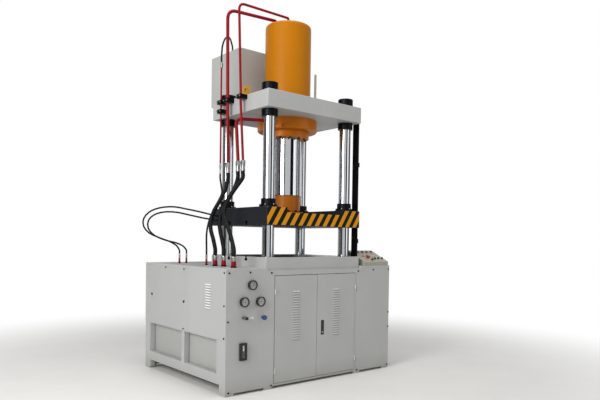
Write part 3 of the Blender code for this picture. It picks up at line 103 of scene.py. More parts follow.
# The scale at which a wave texture has one band in each unit.
ONE_BAND = 0.6283
HOSE_ROUTES = {
    "main_pressure_hose": (THICK_HOSE, "stiff", [
        (PIPE_X, 0.087, HOSE_TOP), (PIPE_X, 0.087, 1.700), (-0.595, 0.082, 1.620), (-0.630, 0.105, 1.530),
        (-0.655, 0.150, 1.450), (-0.672, 0.180, 1.370), (-0.695, 0.150, 1.280), (-0.714, 0.075, 1.190),
        (-0.722, 0.030, 1.110), (-0.722, 0.030, HOSE_FOOT)]),
    "return_hose": (THICK_HOSE, "stiff", [
        (PIPE_X, -0.067, HOSE_TOP), (PIPE_X, -0.067, 1.705), (-0.582, -0.035, 1.620), (-0.600, 0.018, 1.545),
        (-0.628, 0.070, 1.450), (-0.655, 0.072, 1.360), (-0.678, 0.030, 1.275), (-0.694, -0.030, 1.190),
        (-0.703, -0.073, 1.110), (-0.703, -0.073, HOSE_FOOT)]),
    "fast_approach_hose": (THICK_HOSE, "stiff", [
        (PIPE_X, -0.140, HOSE_TOP), (PIPE_X, -0.140, 1.705), (-0.610, -0.125, 1.640), (-0.653, -0.105, 1.570),
        (-0.680, -0.070, 1.490), (-0.698, -0.062, 1.410), (-0.716, -0.125, 1.330), (-0.735, -0.215, 1.235),
        (-0.748, -0.289, 1.115), (-0.748, -0.289, HOSE_FOOT)]),
    "pilot_hose": (THIN_HOSE, "medium", [
        (PIPE_X, 0.208, HOSE_TOP), (PIPE_X, 0.208, 1.720), (-0.576, 0.178, 1.650), (-0.585, 0.155, 1.590),
        (-0.600, 0.190, 1.520), (-0.618, 0.235, 1.450), (-0.645, 0.265, 1.345), (-0.672, 0.255, 1.240),
        (-0.693, 0.218, 1.105), (-0.693, 0.218, HOSE_FOOT)]),
    "slide_hose_front": (LOOP_HOSE, "medium", [
        (-0.743, 0.606, HOSE_FOOT), (-0.743, 0.606, 1.085), (-0.765, 0.622, 1.130), (-0.820, 0.658, 1.168),
        (-0.890, 0.706, 1.198), (-0.965, 0.762, 1.240), (-1.003, 0.798, 1.300), (-0.998, 0.808, 1.370),
        (-0.955, 0.788, 1.430), (-0.890, 0.720, 1.468), (-0.815, 0.600, 1.478), (-0.740, 0.470, 1.455),
        (-0.660, 0.370, 1.430), (-0.560, 0.290, 1.400), (SLIDE_SIDE, 0.290, 1.400)]),
    "slide_hose_rear": (LOOP_HOSE, "medium", [
        (-0.652, 0.643, HOSE_FOOT), (-0.652, 0.643, 1.085), (-0.680, 0.655, 1.125), (-0.740, 0.682, 1.155),
        (-0.830, 0.712, 1.178), (-0.915, 0.760, 1.220), (-0.960, 0.795, 1.285), (-0.955, 0.800, 1.355),
        (-0.915, 0.775, 1.405), (-0.855, 0.700, 1.432), (-0.790, 0.590, 1.430), (-0.725, 0.465, 1.405),
        (-0.655, 0.360, 1.380), (-0.560, 0.275, 1.360), (SLIDE_SIDE, 0.275, 1.360)]),
    "tank_hose": (LOOP_HOSE, "medium", [
        (PIPE_X, 0.208, 2.7253), (PIPE_X, 0.208, 2.780), (-0.560, 0.212, 2.870), (-0.525, 0.232, 2.940),
        (-0.470, 0.275, 2.985), (-0.410, 0.330, 3.000), (-0.360, 0.380, 2.985), (-0.330, 0.407, 2.955),
        (-0.330, 0.407, 2.9253)]),
}


def colour(code):
    """An sRGB hex colour as the linear red, green, blue and alpha that a socket takes."""
    parts = [int(code[i:i + 2], 16) / 255 for i in (1, 3, 5)]
    return (*(c / 12.92 if c <= 0.04045 else ((c + 0.055) / 1.055) ** 2.4 for c in parts), 1)


def feed(tree, node, inputs):
    """Gives a node's sockets, each by its name or identifier, a value or another socket."""
    for key, value in inputs.items():
        socket = next(s for s in node.inputs if key in (s.identifier, s.name))
        if isinstance(value, bpy.types.NodeSocket):
            tree.links.new(value, socket)
        else:
            socket.default_value = value


def add(tree, kind, inputs=None, **settings):
    """Adds a node with its settings and feeds its sockets."""
    made = tree.nodes.new(kind)
    for key, value in settings.items():
        setattr(made, key, value)
    feed(tree, made, inputs or {})
    return made


def material(name, **values):
    """A Principled material and its tree. values are set on the shader's own sockets, named with underscores."""
    made = bpy.data.materials.new(name)
    made.use_nodes = True
    shader = made.node_tree.nodes["Principled BSDF"]
    for key, value in values.items():
        shader.inputs[key.replace("_", " ").title().replace("Ior", "IOR")].default_value = value
    return made, made.node_tree, shader


def hose_rubber():
    """Black nitrile rubber with the weave of its curing cloth: a soft dull sheen, broken by fine cross ribs.

    The cloth's threads are 1 mm apart. On a thick hose they are drawn 3 mm apart, as fine as the picture can show.
    """
    rubber, tree, shader = material("hose_rubber", base_color=colour("#0A0B0C"), specular_ior_level=0.18)
    uv = add(tree, "ShaderNodeTexCoord").outputs["UV"]
    back = add(tree, "ShaderNodeMapping", {"Vector": uv, "Scale": (1, -1, 1)}).outputs["Vector"]
    ribs = [add(tree, "ShaderNodeTexWave", {"Vector": way, "Scale": ONE_BAND * WEAVE_THREADS},
                bands_direction="DIAGONAL") for way in (uv, back)]
    weave = add(tree, "ShaderNodeMath", {"Value": ribs[0].outputs["Fac"], "Value_001": ribs[1].outputs["Fac"]},
                operation="MULTIPLY")
    scuffs = add(tree, "ShaderNodeTexNoise", {"Vector": uv, "Scale": 5.0, "Detail": 4.0})
    tone = add(tree, "ShaderNodeMapRange", {"Value": scuffs.outputs["Fac"], "From Min": 0.3, "From Max": 0.75,
                                            "To Min": 0.45, "To Max": 0.65})
    bump = add(tree, "ShaderNodeBump", {"Height": weave.outputs[0], "Strength": 0.35, "Distance": 0.0004})
    feed(tree, shader, {"Roughness": tone.outputs[0], "Normal": bump.outputs[0]})
    return rubber


def flowing(points, spacing):
    """A smooth curve through given points, sampled at about that spacing."""
    ends = [Vector(points[0]) * 2 - Vector(points[1]), Vector(points[-1]) * 2 - Vector(points[-2])]
    chain = [ends[0]] + [Vector(p) for p in points] + [ends[1]]
    route = [chain[1]]
    for a, b, c, d in zip(chain, chain[1:], chain[2:], chain[3:]):
        steps = max(1, round((c - b).length / spacing))
        for step in range(1, steps + 1):
            t = step / steps
            route.append((2 * b + (c - a) * t + (2 * a - 5 * b + 4 * c - d) * t * t
                          + (3 * b - a - 3 * c + d) * t ** 3) / 2)
    return route


def route_length(route):
    """The length of a route in metres."""
    return sum((Vector(b[:3]) - Vector(a[:3])).length for a, b in zip(route, route[1:]))


def swept(shape, route, radius, sides=HOSE_SIDES, finish=0):
    """Adds a closed round tube along a route. A fourth number at a point scales the radius there.

    Its UV map runs once round the tube and, along it, once for each length of its own girth.
    """
    points = [Vector(point[:3]) for point in route]
    sizes = [radius * (point[3] if len(point) > 3 else 1) for point in route]
    uv = shape.loops.layers.uv.verify()
    across, rings, run = None, [], 0.0
    for i, (point, size) in enumerate(zip(points, sizes)):
        ahead = (points[min(i + 1, len(points) - 1)] - points[max(i - 1, 0)]).normalized()
        across = ahead.orthogonal() if across is None else across
        across = (across - ahead * across.dot(ahead)).normalized()
        other = ahead.cross(across)
        run += (point - points[i - 1]).length if i else 0.0
        ring = []
        for k in range(sides):
            angle = 2 * math.pi * k / sides
            ring.append(shape.verts.new(point + (across * math.cos(angle) + other * math.sin(angle)) * size))
        rings.append((ring, run / (2 * math.pi * radius)))
    for (low, v0), (high, v1) in zip(rings, rings[1:]):
        for k in range(sides):
            after = (k + 1) % sides
            face = shape.faces.new((low[k], low[after], high[after], high[k]))
            face.material_index = finish
            for loop, place in zip(face.loops, ((k, v0), (k + 1, v0), (k + 1, v1), (k, v1))):
                loop[uv].uv = (place[0] / sides, place[1])
    for cap in (list(reversed(rings[0][0])), rings[-1][0]):
        shape.faces.new(cap).material_index = finish


def built(name, shape, finishes):
    """Makes a shape, which is used up, into an object with its finishes."""
    mesh = bpy.data.meshes.new(name)
    shape.to_mesh(mesh)
    shape.free()
    for finish in finishes:
        mesh.materials.append(finish)
    return placed(name, mesh)


def finished(name, shape, finishes, slot, body="press_frame", stands_for=(), edge=0.0, crease=40):
    """Makes a shape into a piece on its body. edge is the radius that its sharp edges are eased by."""
    bmesh.ops.translate(shape, verts=shape.verts, vec=AXIS)
    piece = built(name, shape, finishes)
    piece.data.shade_smooth()
    piece.data.set_sharp_from_angle(angle=math.radians(crease))
    if edge:
        bevel = piece.modifiers.new("eased_edges", "BEVEL")
        bevel.width = edge
        bevel.segments = 2
        bevel.limit_method = "ANGLE"
        bevel.angle_limit = math.radians(crease)
    flats = piece.modifiers.new("flat_faces", "WEIGHTED_NORMAL")
    flats.keep_sharp = True
    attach(piece, body)
    if stands_for:
        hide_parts(*stands_for)
    return piece


HOSE_RUBBER = hose_rubber()


def hose(name, diameter, points):
    """Makes a hose along its points. Half its diameter at either end runs straight into the fitting."""
    first, last = Vector(points[0]), Vector(points[-1])
    start = first + (Vector(points[1]) - first).normalized() * diameter / 2
    end = last + (Vector(points[-2]) - last).normalized() * diameter / 2
    inner = [start, *points[1:-1], end]
    spacing = route_length([tuple(p) for p in inner]) / HOSE_RINGS
    route = [first, *flowing(inner, spacing), last]
    shape = bmesh.new()
    swept(shape, route, diameter / 2)
    piece = finished(name + "_cover", shape, [HOSE_RUBBER], "hose_rubber", stands_for=[name])
    piece.modifiers.clear()
    route_length(route)


for hose_name, (hose_diameter, hose_stiffness, hose_points) in HOSE_ROUTES.items():
    hose(hose_name, hose_diameter, hose_points)

# Cabinet frame
# A box of welded square tube on eight feet. It carries the bed and holds the oil tank and the pump.
# The fixed halves of the door hinges are welded to its front. It has the cabinet's grey two-pack enamel.
PAINT_GREY = "#B2B3B1"
SHOP_DUST = "#847E72"
DUST_HEIGHT = 0.16
PEEL_SIZE = 0.002
HINGE_FRONT = -0.4478
TUBE_EDGE = 0.0012
WELD_REACH = 0.00002
FLAT_ANGLE = math.radians(0.5)


def span(node):
    """A CAD node's lowest and highest corners, measured from the press axis."""
    low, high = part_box(node)
    return low - AXIS, high - AXIS


def shade(code, factor):
    """A hex colour made darker or lighter by a factor."""
    red, green, blue, alpha = colour(code)
    return red * factor, green * factor, blue * factor, alpha


def enamel(name, code, roughness, cloud=0.05, dusty=False, coat=0.0, sheen=0.35):
    """Sprayed machine enamel: a satin colour with faint clouds of tone, soft upright runs and orange peel.

    Where it is dusty, its lowest 160 mm turn to the grey-brown dust of a workshop floor. sheen is the strength of
    its highlights, lower on the deep colours, which a white studio would wash out.
    """
    paint, tree, shader = material(name, specular_ior_level=sheen, coat_weight=coat, coat_roughness=0.2)
    place = add(tree, "ShaderNodeTexCoord").outputs["Object"]
    clouds = add(tree, "ShaderNodeTexNoise", {"Vector": place, "Scale": 3.0, "Detail": 5.0, "Roughness": 0.6})
    upright = add(tree, "ShaderNodeMapping", {"Vector": place, "Scale": (5, 5, 0.8)})
    wiped = add(tree, "ShaderNodeTexNoise", {"Vector": upright.outputs["Vector"], "Scale": 1.0, "Detail": 4.0})
    both = add(tree, "ShaderNodeMath", {"Value": clouds.outputs["Fac"], "Value_001": wiped.outputs["Fac"]},
               operation="MULTIPLY")
    spread = add(tree, "ShaderNodeMapRange", {"Value": both.outputs[0], "From Min": 0.12, "From Max": 0.42})
    tone = add(tree, "ShaderNodeMix", {"Factor_Float": spread.outputs[0], "A_Color": shade(code, 1 - cloud),
                                       "B_Color": shade(code, 1 + cloud / 3)}, data_type="RGBA").outputs[2]
    if dusty:
        height = add(tree, "ShaderNodeSeparateXYZ", {"Vector": place}).outputs["Z"]
        low = add(tree, "ShaderNodeMapRange", {"Value": height, "From Min": 0.0, "From Max": DUST_HEIGHT,
                                               "To Min": 0.7, "To Max": 0.0})
        patchy = add(tree, "ShaderNodeMath", {"Value": low.outputs[0], "Value_001": clouds.outputs["Fac"]},
                     operation="MULTIPLY")
        tone = add(tree, "ShaderNodeMix", {"Factor_Float": patchy.outputs[0], "A_Color": tone,
                                           "B_Color": colour(SHOP_DUST)}, data_type="RGBA").outputs[2]
    gloss = add(tree, "ShaderNodeMapRange", {"Value": clouds.outputs["Fac"], "From Min": 0.3, "From Max": 0.7,
                                             "To Min": roughness - 0.06, "To Max": roughness + 0.08})
    skin = add(tree, "ShaderNodeTexNoise", {"Vector": place, "Scale": 1 / PEEL_SIZE, "Detail": 2.0})
    bump = add(tree, "ShaderNodeBump", {"Height": skin.outputs["Fac"], "Strength": 0.1,
                                        "Distance": PEEL_SIZE / 8})
    feed(tree, shader, {"Base Color": tone, "Roughness": gloss.outputs[0], "Normal": bump.outputs[0]})
    return paint


def metal(name, code, roughness, grain, drawn=(1, 1, 1), stain=0.15, depth=0.12):
    """Bare or plated metal: tool marks of one grain size, drawn out along an axis, under a faint dull film.

    grain is the spacing of the marks in metres. drawn shrinks the pattern along the axes that it is drawn out on.
    """
    made, tree, shader = material(name, metallic=1.0)
    place = add(tree, "ShaderNodeTexCoord").outputs["Object"]
    spread = add(tree, "ShaderNodeMapping", {"Vector": place, "Scale": drawn})
    marks = add(tree, "ShaderNodeTexNoise", {"Vector": spread.outputs["Vector"], "Scale": 1 / grain, "Detail": 3.0})
    film = add(tree, "ShaderNodeTexNoise", {"Vector": place, "Scale": 9.0, "Detail": 6.0, "Roughness": 0.65})
    dull = add(tree, "ShaderNodeMapRange", {"Value": film.outputs["Fac"], "From Min": 0.35, "From Max": 0.75})
    tint = add(tree, "ShaderNodeMix", {"Factor_Float": dull.outputs[0], "A_Color": colour(code),
                                       "B_Color": shade(code, 1 - stain)}, data_type="RGBA")
    gloss = add(tree, "ShaderNodeMapRange", {"Value": marks.outputs["Fac"], "From Min": 0.3, "From Max": 0.7,
                                             "To Min": roughness * 0.75, "To Max": roughness * 1.35})
    bump = add(tree, "ShaderNodeBump", {"Height": marks.outputs["Fac"], "Strength": depth, "Distance": grain / 6})
    feed(tree, shader, {"Base Color": tint.outputs[2], "Roughness": gloss.outputs[0], "Normal": bump.outputs[0]})
    return made


def reworked(node, chosen=None):
    """A copy of a CAD node, its triangles merged to whole faces. chosen(middle, normal) gives a face its finish."""
    shape = bmesh.new()
    shape.from_mesh(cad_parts[node].data)
    bmesh.ops.translate(shape, verts=shape.verts, vec=-AXIS)
    bmesh.ops.remove_doubles(shape, verts=shape.verts, dist=WELD_REACH)
    bmesh.ops.dissolve_limit(shape, angle_limit=FLAT_ANGLE, verts=shape.verts, edges=shape.edges)
    for face in shape.faces:
        face.material_index = chosen(face.calc_center_median(), face.normal) if chosen else 0
    return shape


def dressed(name, node, finishes, slot, chosen=None, **settings):
    """Makes the copy of a CAD node into the piece that stands for it."""
    finished(name, reworked(node, chosen), finishes, slot, stands_for=[node], **settings)


CABINET_GREY = enamel("cabinet_grey_enamel", PAINT_GREY, 0.44, dusty=True)
# Satin nickel on the hinges: a pale, soft sheen that picks up the lamps.
SATIN_NICKEL = metal("satin_nickel", "#DAD8D2", 0.45, 0.0006, stain=0.1)
# Bright zinc plate over steel, on ferrules, unions and small screws: a pale grey, a little clouded.
ZINC_PLATE = metal("bright_zinc_plate", "#A6A6A3", 0.30, 0.0008, stain=0.25)
# Hot-blackened steel, oiled: near black, with a soft grey highlight along its edges.
BLACK_OXIDE = metal("blackened_steel", "#1E1F22", 0.38, 0.0010, stain=0.3)

dressed("welded_frame", "cabinet_frame", [CABINET_GREY, SATIN_NICKEL], "light_grey_enamel",
        lambda middle, normal: int(middle.y < HINGE_FRONT), edge=TUBE_EDGE)

# Power pack
# The oil tank with the valve block on its lid, and the electric motor with its gear pump. They fill the cabinet.
# The tank is welded sheet in the cabinet's grey, the motor and block are castings, the solenoids moulded nylon.
TANK_PAINT = enamel("tank_grey_enamel", "#A9AAA6", 0.45)
MOTOR_PAINT = enamel("motor_grey_enamel", "#5B6166", 0.5)


def plastic(name, code, roughness, grain=0.0006):
    """Moulded plastic with a fine spark-eroded grain, slightly rubbed here and there."""
    made, tree, shader = material(name, base_color=colour(code))
    place = add(tree, "ShaderNodeTexCoord").outputs["Object"]
    pits = add(tree, "ShaderNodeTexNoise", {"Vector": place, "Scale": 1 / grain, "Detail": 1.0})
    rubbed = add(tree, "ShaderNodeTexNoise", {"Vector": place, "Scale": 60.0, "Detail": 4.0})
    gloss = add(tree, "ShaderNodeMapRange", {"Value": rubbed.outputs["Fac"], "From Min": 0.3, "From Max": 0.7,
                                             "To Min": roughness - 0.08, "To Max": roughness + 0.08})
    bump = add(tree, "ShaderNodeBump", {"Height": pits.outputs["Fac"], "Strength": 0.15, "Distance": grain / 6})
    feed(tree, shader, {"Roughness": gloss.outputs[0], "Normal": bump.outputs[0]})
    return made


BLACK_PLASTIC = plastic("black_plastic", "#101113", 0.4)
VALVE_FOOT = 0.5805
SOLENOID_INNER = 0.065
BLOCK_MIDDLE = -0.685
PACK_EDGE = 0.0015
VALVE_EDGE = 0.0012


def manifold_finish(middle, normal):
    """The block itself, the valves on it, or the solenoids at their ends."""
    if middle.z < VALVE_FOOT:
        return 0
    return 2 if abs(middle.x - BLOCK_MIDDLE) > SOLENOID_INNER else 1


dressed("oil_tank", "oil_reservoir", [TANK_PAINT], "motor_grey_enamel", edge=PACK_EDGE)
dressed("motor_and_pump", "pump_motor", [MOTOR_PAINT], "motor_grey_enamel", edge=PACK_EDGE)
dressed("valve_block", "valve_manifold", [BLACK_OXIDE, ZINC_PLATE, BLACK_PLASTIC], "blackened_steel",
        manifold_finish, edge=VALVE_EDGE)

# Bed
# A thick steel plate with two tee slots for fixtures. Its sides are painted and its top is milled bright.
# The photograph shows a light grey side with an eased edge, and cutter marks that run along the slots.
PLATE_EDGE = 0.0010
SIDE_REACH = 0.006
# Milled steel, in a darker grey than bare steel that paints the shade over the bed's top, with marks 1.5 mm apart
# that run left to right, under a faint oily film.
MILLED_STEEL_SHADED = metal("milled_steel_painted_shade", "#8E8E8B", 0.34, 0.0015, drawn=(0.04, 1, 1), stain=0.3)
PLATE_GREY = enamel("plate_grey_enamel", PAINT_GREY, 0.42)


def plate_finish(middle, normal):
    """Milled on top, in the slots and beneath, painted on the four sides."""
    half = (BED_HIGH - BED_LOW) / 2
    side = abs(middle.x) > half.x - SIDE_REACH or abs(middle.y) > half.y - SIDE_REACH
    return int(side and abs(normal.z) < 0.9)


dressed("bed_plate", "bed", [MILLED_STEEL_SHADED, PLATE_GREY], "light_grey_enamel", plate_finish, edge=PLATE_EDGE)

# Columns
# Four ground bars, hard chromed, that tie the bed to the crown. A black nut holds each one under the bed.
# A black collar carries the crown. The chrome mirrors the room in a strong upright streak.
CORNERS = ("front_left", "front_right", "rear_left", "rear_right")
COLUMN_RADIUS = 0.050
COLUMN_EDGE = 0.003
COLLAR_RADIUS = 0.067
BED_NUT_RADIUS = 0.070
COLLAR_Z = (2.2007, 2.2587)
BED_NUT_Z = (0.8407, 0.9137)
FIT = 0.0003
# Hard chrome, ground along the bar: a clean mirror with hair-fine marks round it.
HARD_CHROME = metal("hard_chrome", "#B4B6B8", 0.08, 0.0009, drawn=(1, 1, 0.2), stain=0.06, depth=0.015)


def eased(profile, radius, steps=3):
    """A turned profile with its corners rounded. Points on the axis stay, and a ring's ends are rounded too."""
    solid = profile[0][0] == 0 or profile[-1][0] == 0
    points = [Vector(point) for point in profile]
    softened = []
    for i, corner in enumerate(points):
        if solid and i in (0, len(points) - 1):
            softened.append(corner)
            continue
        before, after = points[i - 1], points[(i + 1) % len(points)]
        start = corner + (before - corner).normalized() * min(radius, (before - corner).length * 0.45)
        end = corner + (after - corner).normalized() * min(radius, (after - corner).length * 0.45)
        for step in range(steps + 1):
            t = step / steps
            softened.append(start * (1 - t) ** 2 + corner * 2 * t * (1 - t) + end * t * t)
    return [tuple(point) for point in softened]


def turned(shape, profile, centre, along=(0, 0, 1), sides=64, finish=0):
    """Adds a turned piece. profile is radius and height, up its outer side; one clear of the axis is a ring."""
    facing = Vector((0, 0, 1)).rotation_difference(Vector(along)).to_matrix()
    rings = []
    for radius, height in profile:
        angles = [2 * math.pi * (k + 0.5) / sides for k in range(sides if radius else 1)]
        rings.append([shape.verts.new(Vector(centre) + facing @ Vector((radius * math.cos(angle),
                                                                        radius * math.sin(angle), height)))
                      for angle in angles])
    pairs = list(zip(rings, rings[1:]))
    if profile[0][0] and profile[-1][0]:
        pairs.append((rings[-1], rings[0]))
    for low, high in pairs:
        for k in range(sides):
            after = (k + 1) % sides
            corners = [low[k % len(low)], low[after % len(low)], high[after % len(high)], high[k % len(high)]]
            shape.faces.new(list(dict.fromkeys(corners))).material_index = finish


def sleeve(inner, outer, foot, top):
    """The profile of a plain round sleeve, or of a solid bar where its inner radius is 0."""
    return [(inner, foot), (outer, foot), (outer, top), (inner, top)]


for corner in CORNERS:
    node = "column_" + corner
    low, high = span(node)
    middle = ((low + high) / 2).xy.to_3d()
    bar = bmesh.new()
    turned(bar, eased(sleeve(0, COLUMN_RADIUS, low.z, high.z), COLUMN_EDGE), middle, sides=96)
    finished("column_bar_" + corner, bar, [HARD_CHROME], "hard_chrome", stands_for=[node])
    rings = bmesh.new()
    for radius, (foot, top) in ((BED_NUT_RADIUS, BED_NUT_Z), (COLLAR_RADIUS, COLLAR_Z)):
        turned(rings, eased(sleeve(COLUMN_RADIUS + FIT, radius, foot, top), COLUMN_EDGE), middle, sides=96)
    finished("column_collars_" + corner, rings, [BLACK_OXIDE], "blackened_steel", stands_for=[node])

# Crown
# The head plate, painted grey, with the cylinder through its middle. Two orange lifting lugs are welded on it.
# A cream vent post stands at its right, and black clamps on its left face hold the pipes.
CROWN_TOP = 2.3990
CROWN_LEFT = -0.5228
LUG_NEAR = 0.40
NUT_EDGE = 0.006
CREAM_PAINT = enamel("cream_enamel", "#D2D0C2", 0.45)
LUG_ORANGE = enamel("lug_orange_enamel", "#B98A2C", 0.42)


def crown_finish(middle, normal):
    """The plate, the clamps on its left face, and over its top the lugs near the ends and the post."""
    if middle.x < CROWN_LEFT:
        return 1
    if middle.z > CROWN_TOP + 0.001:
        return 2 if abs(middle.x) > LUG_NEAR else 3
    return 0


dressed("crown_plate", "crown", [PLATE_GREY, BLACK_OXIDE, LUG_ORANGE, CREAM_PAINT], "light_grey_enamel",
        crown_finish, edge=PLATE_EDGE)
for corner in CORNERS:
    node = "crown_nut_" + corner
    low, high = span(node)
    nut = bmesh.new()
    turned(nut, eased(sleeve(COLUMN_RADIUS + FIT, (high.x - low.x) / 2, low.z, high.z), NUT_EDGE, 4),
           ((low + high) / 2).xy.to_3d(), sides=96)
    finished("top_nut_" + corner, nut, [BLACK_OXIDE], "blackened_steel", stands_for=[node])

# Cylinder
# A forged barrel with a closed, rounded top, let into the crown and held by a notched ring nut from below.
# It is sprayed in glossy orange enamel. A gland ring under it seals the ram. Two pipe adapters sit on its top.
BARREL_ORANGE = enamel("barrel_orange_enamel", "#BB7306", 0.40, cloud=0.06, sheen=0.12)
RING_ORANGE = enamel("ring_orange_enamel", "#BE6A0C", 0.38, cloud=0.06, coat=0.05, sheen=0.15)
BARREL_RADIUS = 0.2055
BARREL_BORE = 0.150
SPIGOT_RADIUS = 0.190
SPIGOT_Z = 2.160
SHOULDER_Z = 2.3993
WALL_Z = SHOULDER_Z + 0.05
BARREL_TOP = 3.1053
BORE_TOP = 3.0456
BARREL_EDGE = 0.002
TOP_ROUND = 0.030
RING_EDGE = 0.0020
PORTS = ((-0.100, 0.060), (-0.050, -0.060))
PORT_RADIUS = 0.025
PORT_HEIGHT = 0.022
FILL_Z = 2.810
FILL_RADIUS = 0.065
FILL_Y = (0.1905, 0.2205)

barrel = bmesh.new()
inside = eased([(0, BORE_TOP), (BARREL_BORE, BORE_TOP), (BARREL_BORE, SPIGOT_Z), (SPIGOT_RADIUS, SPIGOT_Z),
                (SPIGOT_RADIUS, SHOULDER_Z), (BARREL_RADIUS, SHOULDER_Z), (BARREL_RADIUS, WALL_Z)], BARREL_EDGE)
outside = eased([(BARREL_RADIUS, WALL_Z), (BARREL_RADIUS, BARREL_TOP), (0, BARREL_TOP)], TOP_ROUND, 8)
turned(barrel, inside + outside[1:], (0, 0, 0), sides=128)
for port_x, port_y in PORTS:
    turned(barrel, eased(sleeve(0, PORT_RADIUS, 0, PORT_HEIGHT), BARREL_EDGE), (port_x, port_y, BARREL_TOP),
           sides=8, finish=1)
turned(barrel, eased(sleeve(0, FILL_RADIUS, 0, FILL_Y[1] - FILL_Y[0]), 0.003), (0, FILL_Y[0], FILL_Z),
       along=(0, 1, 0))
finished("orange_barrel", barrel, [BARREL_ORANGE, BLACK_OXIDE], "orange_enamel", stands_for=["cylinder_barrel"],
         crease=50)
dressed("ring_nut", "lock_ring", [RING_ORANGE], "orange_enamel", edge=RING_EDGE)
dressed("ram_gland", "gland_ring", [RING_ORANGE], "orange_enamel", edge=RING_EDGE)

# Ram
# A chromed plunger with its piston inside the barrel.
# Its foot, a flanged hub in orange enamel, bolts to the slide.
RAM_RADIUS = 0.130
PISTON_HEIGHT = 0.100
FOOT_NECK = 0.124
FOOT_FLANGE_TOP = 1.4433
RAM_EDGE = 0.003
FOOT_EDGE = 0.004
FOOT_LOW, FOOT_HIGH = span("ram_foot")
RAM_LOW, RAM_HIGH = span("ram")
FLANGE_RADIUS = (FOOT_HIGH.x - FOOT_LOW.x) / 2
PISTON_RADIUS = (RAM_HIGH.x - RAM_LOW.x) / 2

ram = bmesh.new()
turned(ram, eased([(0, RAM_LOW.z), (RAM_RADIUS, RAM_LOW.z), (RAM_RADIUS, RAM_HIGH.z - PISTON_HEIGHT),
                   (PISTON_RADIUS, RAM_HIGH.z - PISTON_HEIGHT), (PISTON_RADIUS, RAM_HIGH.z), (0, RAM_HIGH.z)],
                  RAM_EDGE), (0, 0, 0), sides=128)
finished("chromed_ram", ram, [HARD_CHROME], "hard_chrome", body="slide_assembly", stands_for=["ram"])
foot = bmesh.new()
turned(foot, eased([(0, FOOT_LOW.z), (FLANGE_RADIUS, FOOT_LOW.z), (FLANGE_RADIUS, FOOT_FLANGE_TOP),
                    (FOOT_NECK, FOOT_FLANGE_TOP), (FOOT_NECK, FOOT_HIGH.z), (0, FOOT_HIGH.z)], FOOT_EDGE),
       (0, 0, 0), sides=128)
finished("flanged_foot", foot, [RING_ORANGE], "orange_enamel", body="slide_assembly", stands_for=["ram_foot"])

# Slide
# The moving plate, with a raised pad at each side that the bushes sit in and tee slots underneath.
# It is charcoal enamel. Its front face has slanted yellow and black warning bands, sprayed over a mask.
STRIPE_PERIOD = 0.090
STRIPE_SLANT = math.radians(58)
FLAG_LEFT = 0.5228
SLIDE_FRONT = -0.41
WARNING_YELLOW = "#D48E08"
BAND_BLACK = "#0F1013"
CHARCOAL_PAINT = enamel("charcoal_enamel", "#202228", 0.42, cloud=0.15, sheen=0.18)


def warning_bands():
    """Yellow bands with a slightly soft masked edge over charcoal, both a little worn."""
    paint, tree, shader = material("warning_bands", specular_ior_level=0.12)
    place = add(tree, "ShaderNodeTexCoord").outputs["Object"]
    axes = add(tree, "ShaderNodeSeparateXYZ", {"Vector": place})
    lean = add(tree, "ShaderNodeMath", {"Value": axes.outputs["Z"], "Value_001": 1 / math.tan(STRIPE_SLANT)},
               operation="MULTIPLY")
    across = add(tree, "ShaderNodeMath", {"Value": axes.outputs["X"], "Value_001": lean.outputs[0]},
                 operation="SUBTRACT")
    turns = add(tree, "ShaderNodeMath", {"Value": across.outputs[0], "Value_001": 1 / STRIPE_PERIOD},
                operation="MULTIPLY")
    phase = add(tree, "ShaderNodeMath", {"Value": turns.outputs[0]}, operation="FRACT")
    swing = add(tree, "ShaderNodeMath", {"Value": phase.outputs[0], "Value_001": 0.5}, operation="SUBTRACT")
    away = add(tree, "ShaderNodeMath", {"Value": swing.outputs[0]}, operation="ABSOLUTE")
    band = add(tree, "ShaderNodeMapRange", {"Value": away.outputs[0], "From Min": 0.245, "From Max": 0.255})
    chips = add(tree, "ShaderNodeTexNoise", {"Vector": place, "Scale": 70.0, "Detail": 6.0, "Roughness": 0.7})
    worn = add(tree, "ShaderNodeMapRange", {"Value": chips.outputs["Fac"], "From Min": 0.66, "From Max": 0.70,
                                            "To Min": 1.0, "To Max": 0.5})
    kept = add(tree, "ShaderNodeMath", {"Value": band.outputs[0], "Value_001": worn.outputs[0]},
               operation="MULTIPLY")
    tone = add(tree, "ShaderNodeMix", {"Factor_Float": kept.outputs[0], "A_Color": colour(BAND_BLACK),
                                       "B_Color": colour(WARNING_YELLOW)}, data_type="RGBA")
    gloss = add(tree, "ShaderNodeMapRange", {"Value": chips.outputs["Fac"], "To Min": 0.45, "To Max": 0.6})
    feed(tree, shader, {"Base Color": tone.outputs[2], "Roughness": gloss.outputs[0]})
    return paint


def slide_finish(middle, normal):
    """The plate, the bands on its front face, and the flag at its right."""
    if middle.x > FLAG_LEFT:
        return 2
    return int(normal.y < -0.9 and middle.y < SLIDE_FRONT)


dressed("slide_plate", "slide", [CHARCOAL_PAINT, warning_bands(), ZINC_PLATE], "charcoal_enamel", slide_finish,
        body="slide_assembly", edge=PLATE_EDGE)

# Guide bushes
# Flanged steel bushes, blackened, pressed into the slide's pads and screwed down by their flanges.
# A short nose stands out over each flange, and the column slides in its bore.
BUSH_BODY = 0.060
BUSH_NOSE = 0.063
BUSH_FLANGE_Z = (1.4643, 1.4813)
BUSH_BORE = COLUMN_RADIUS + FIT
BUSH_EDGE = 0.002

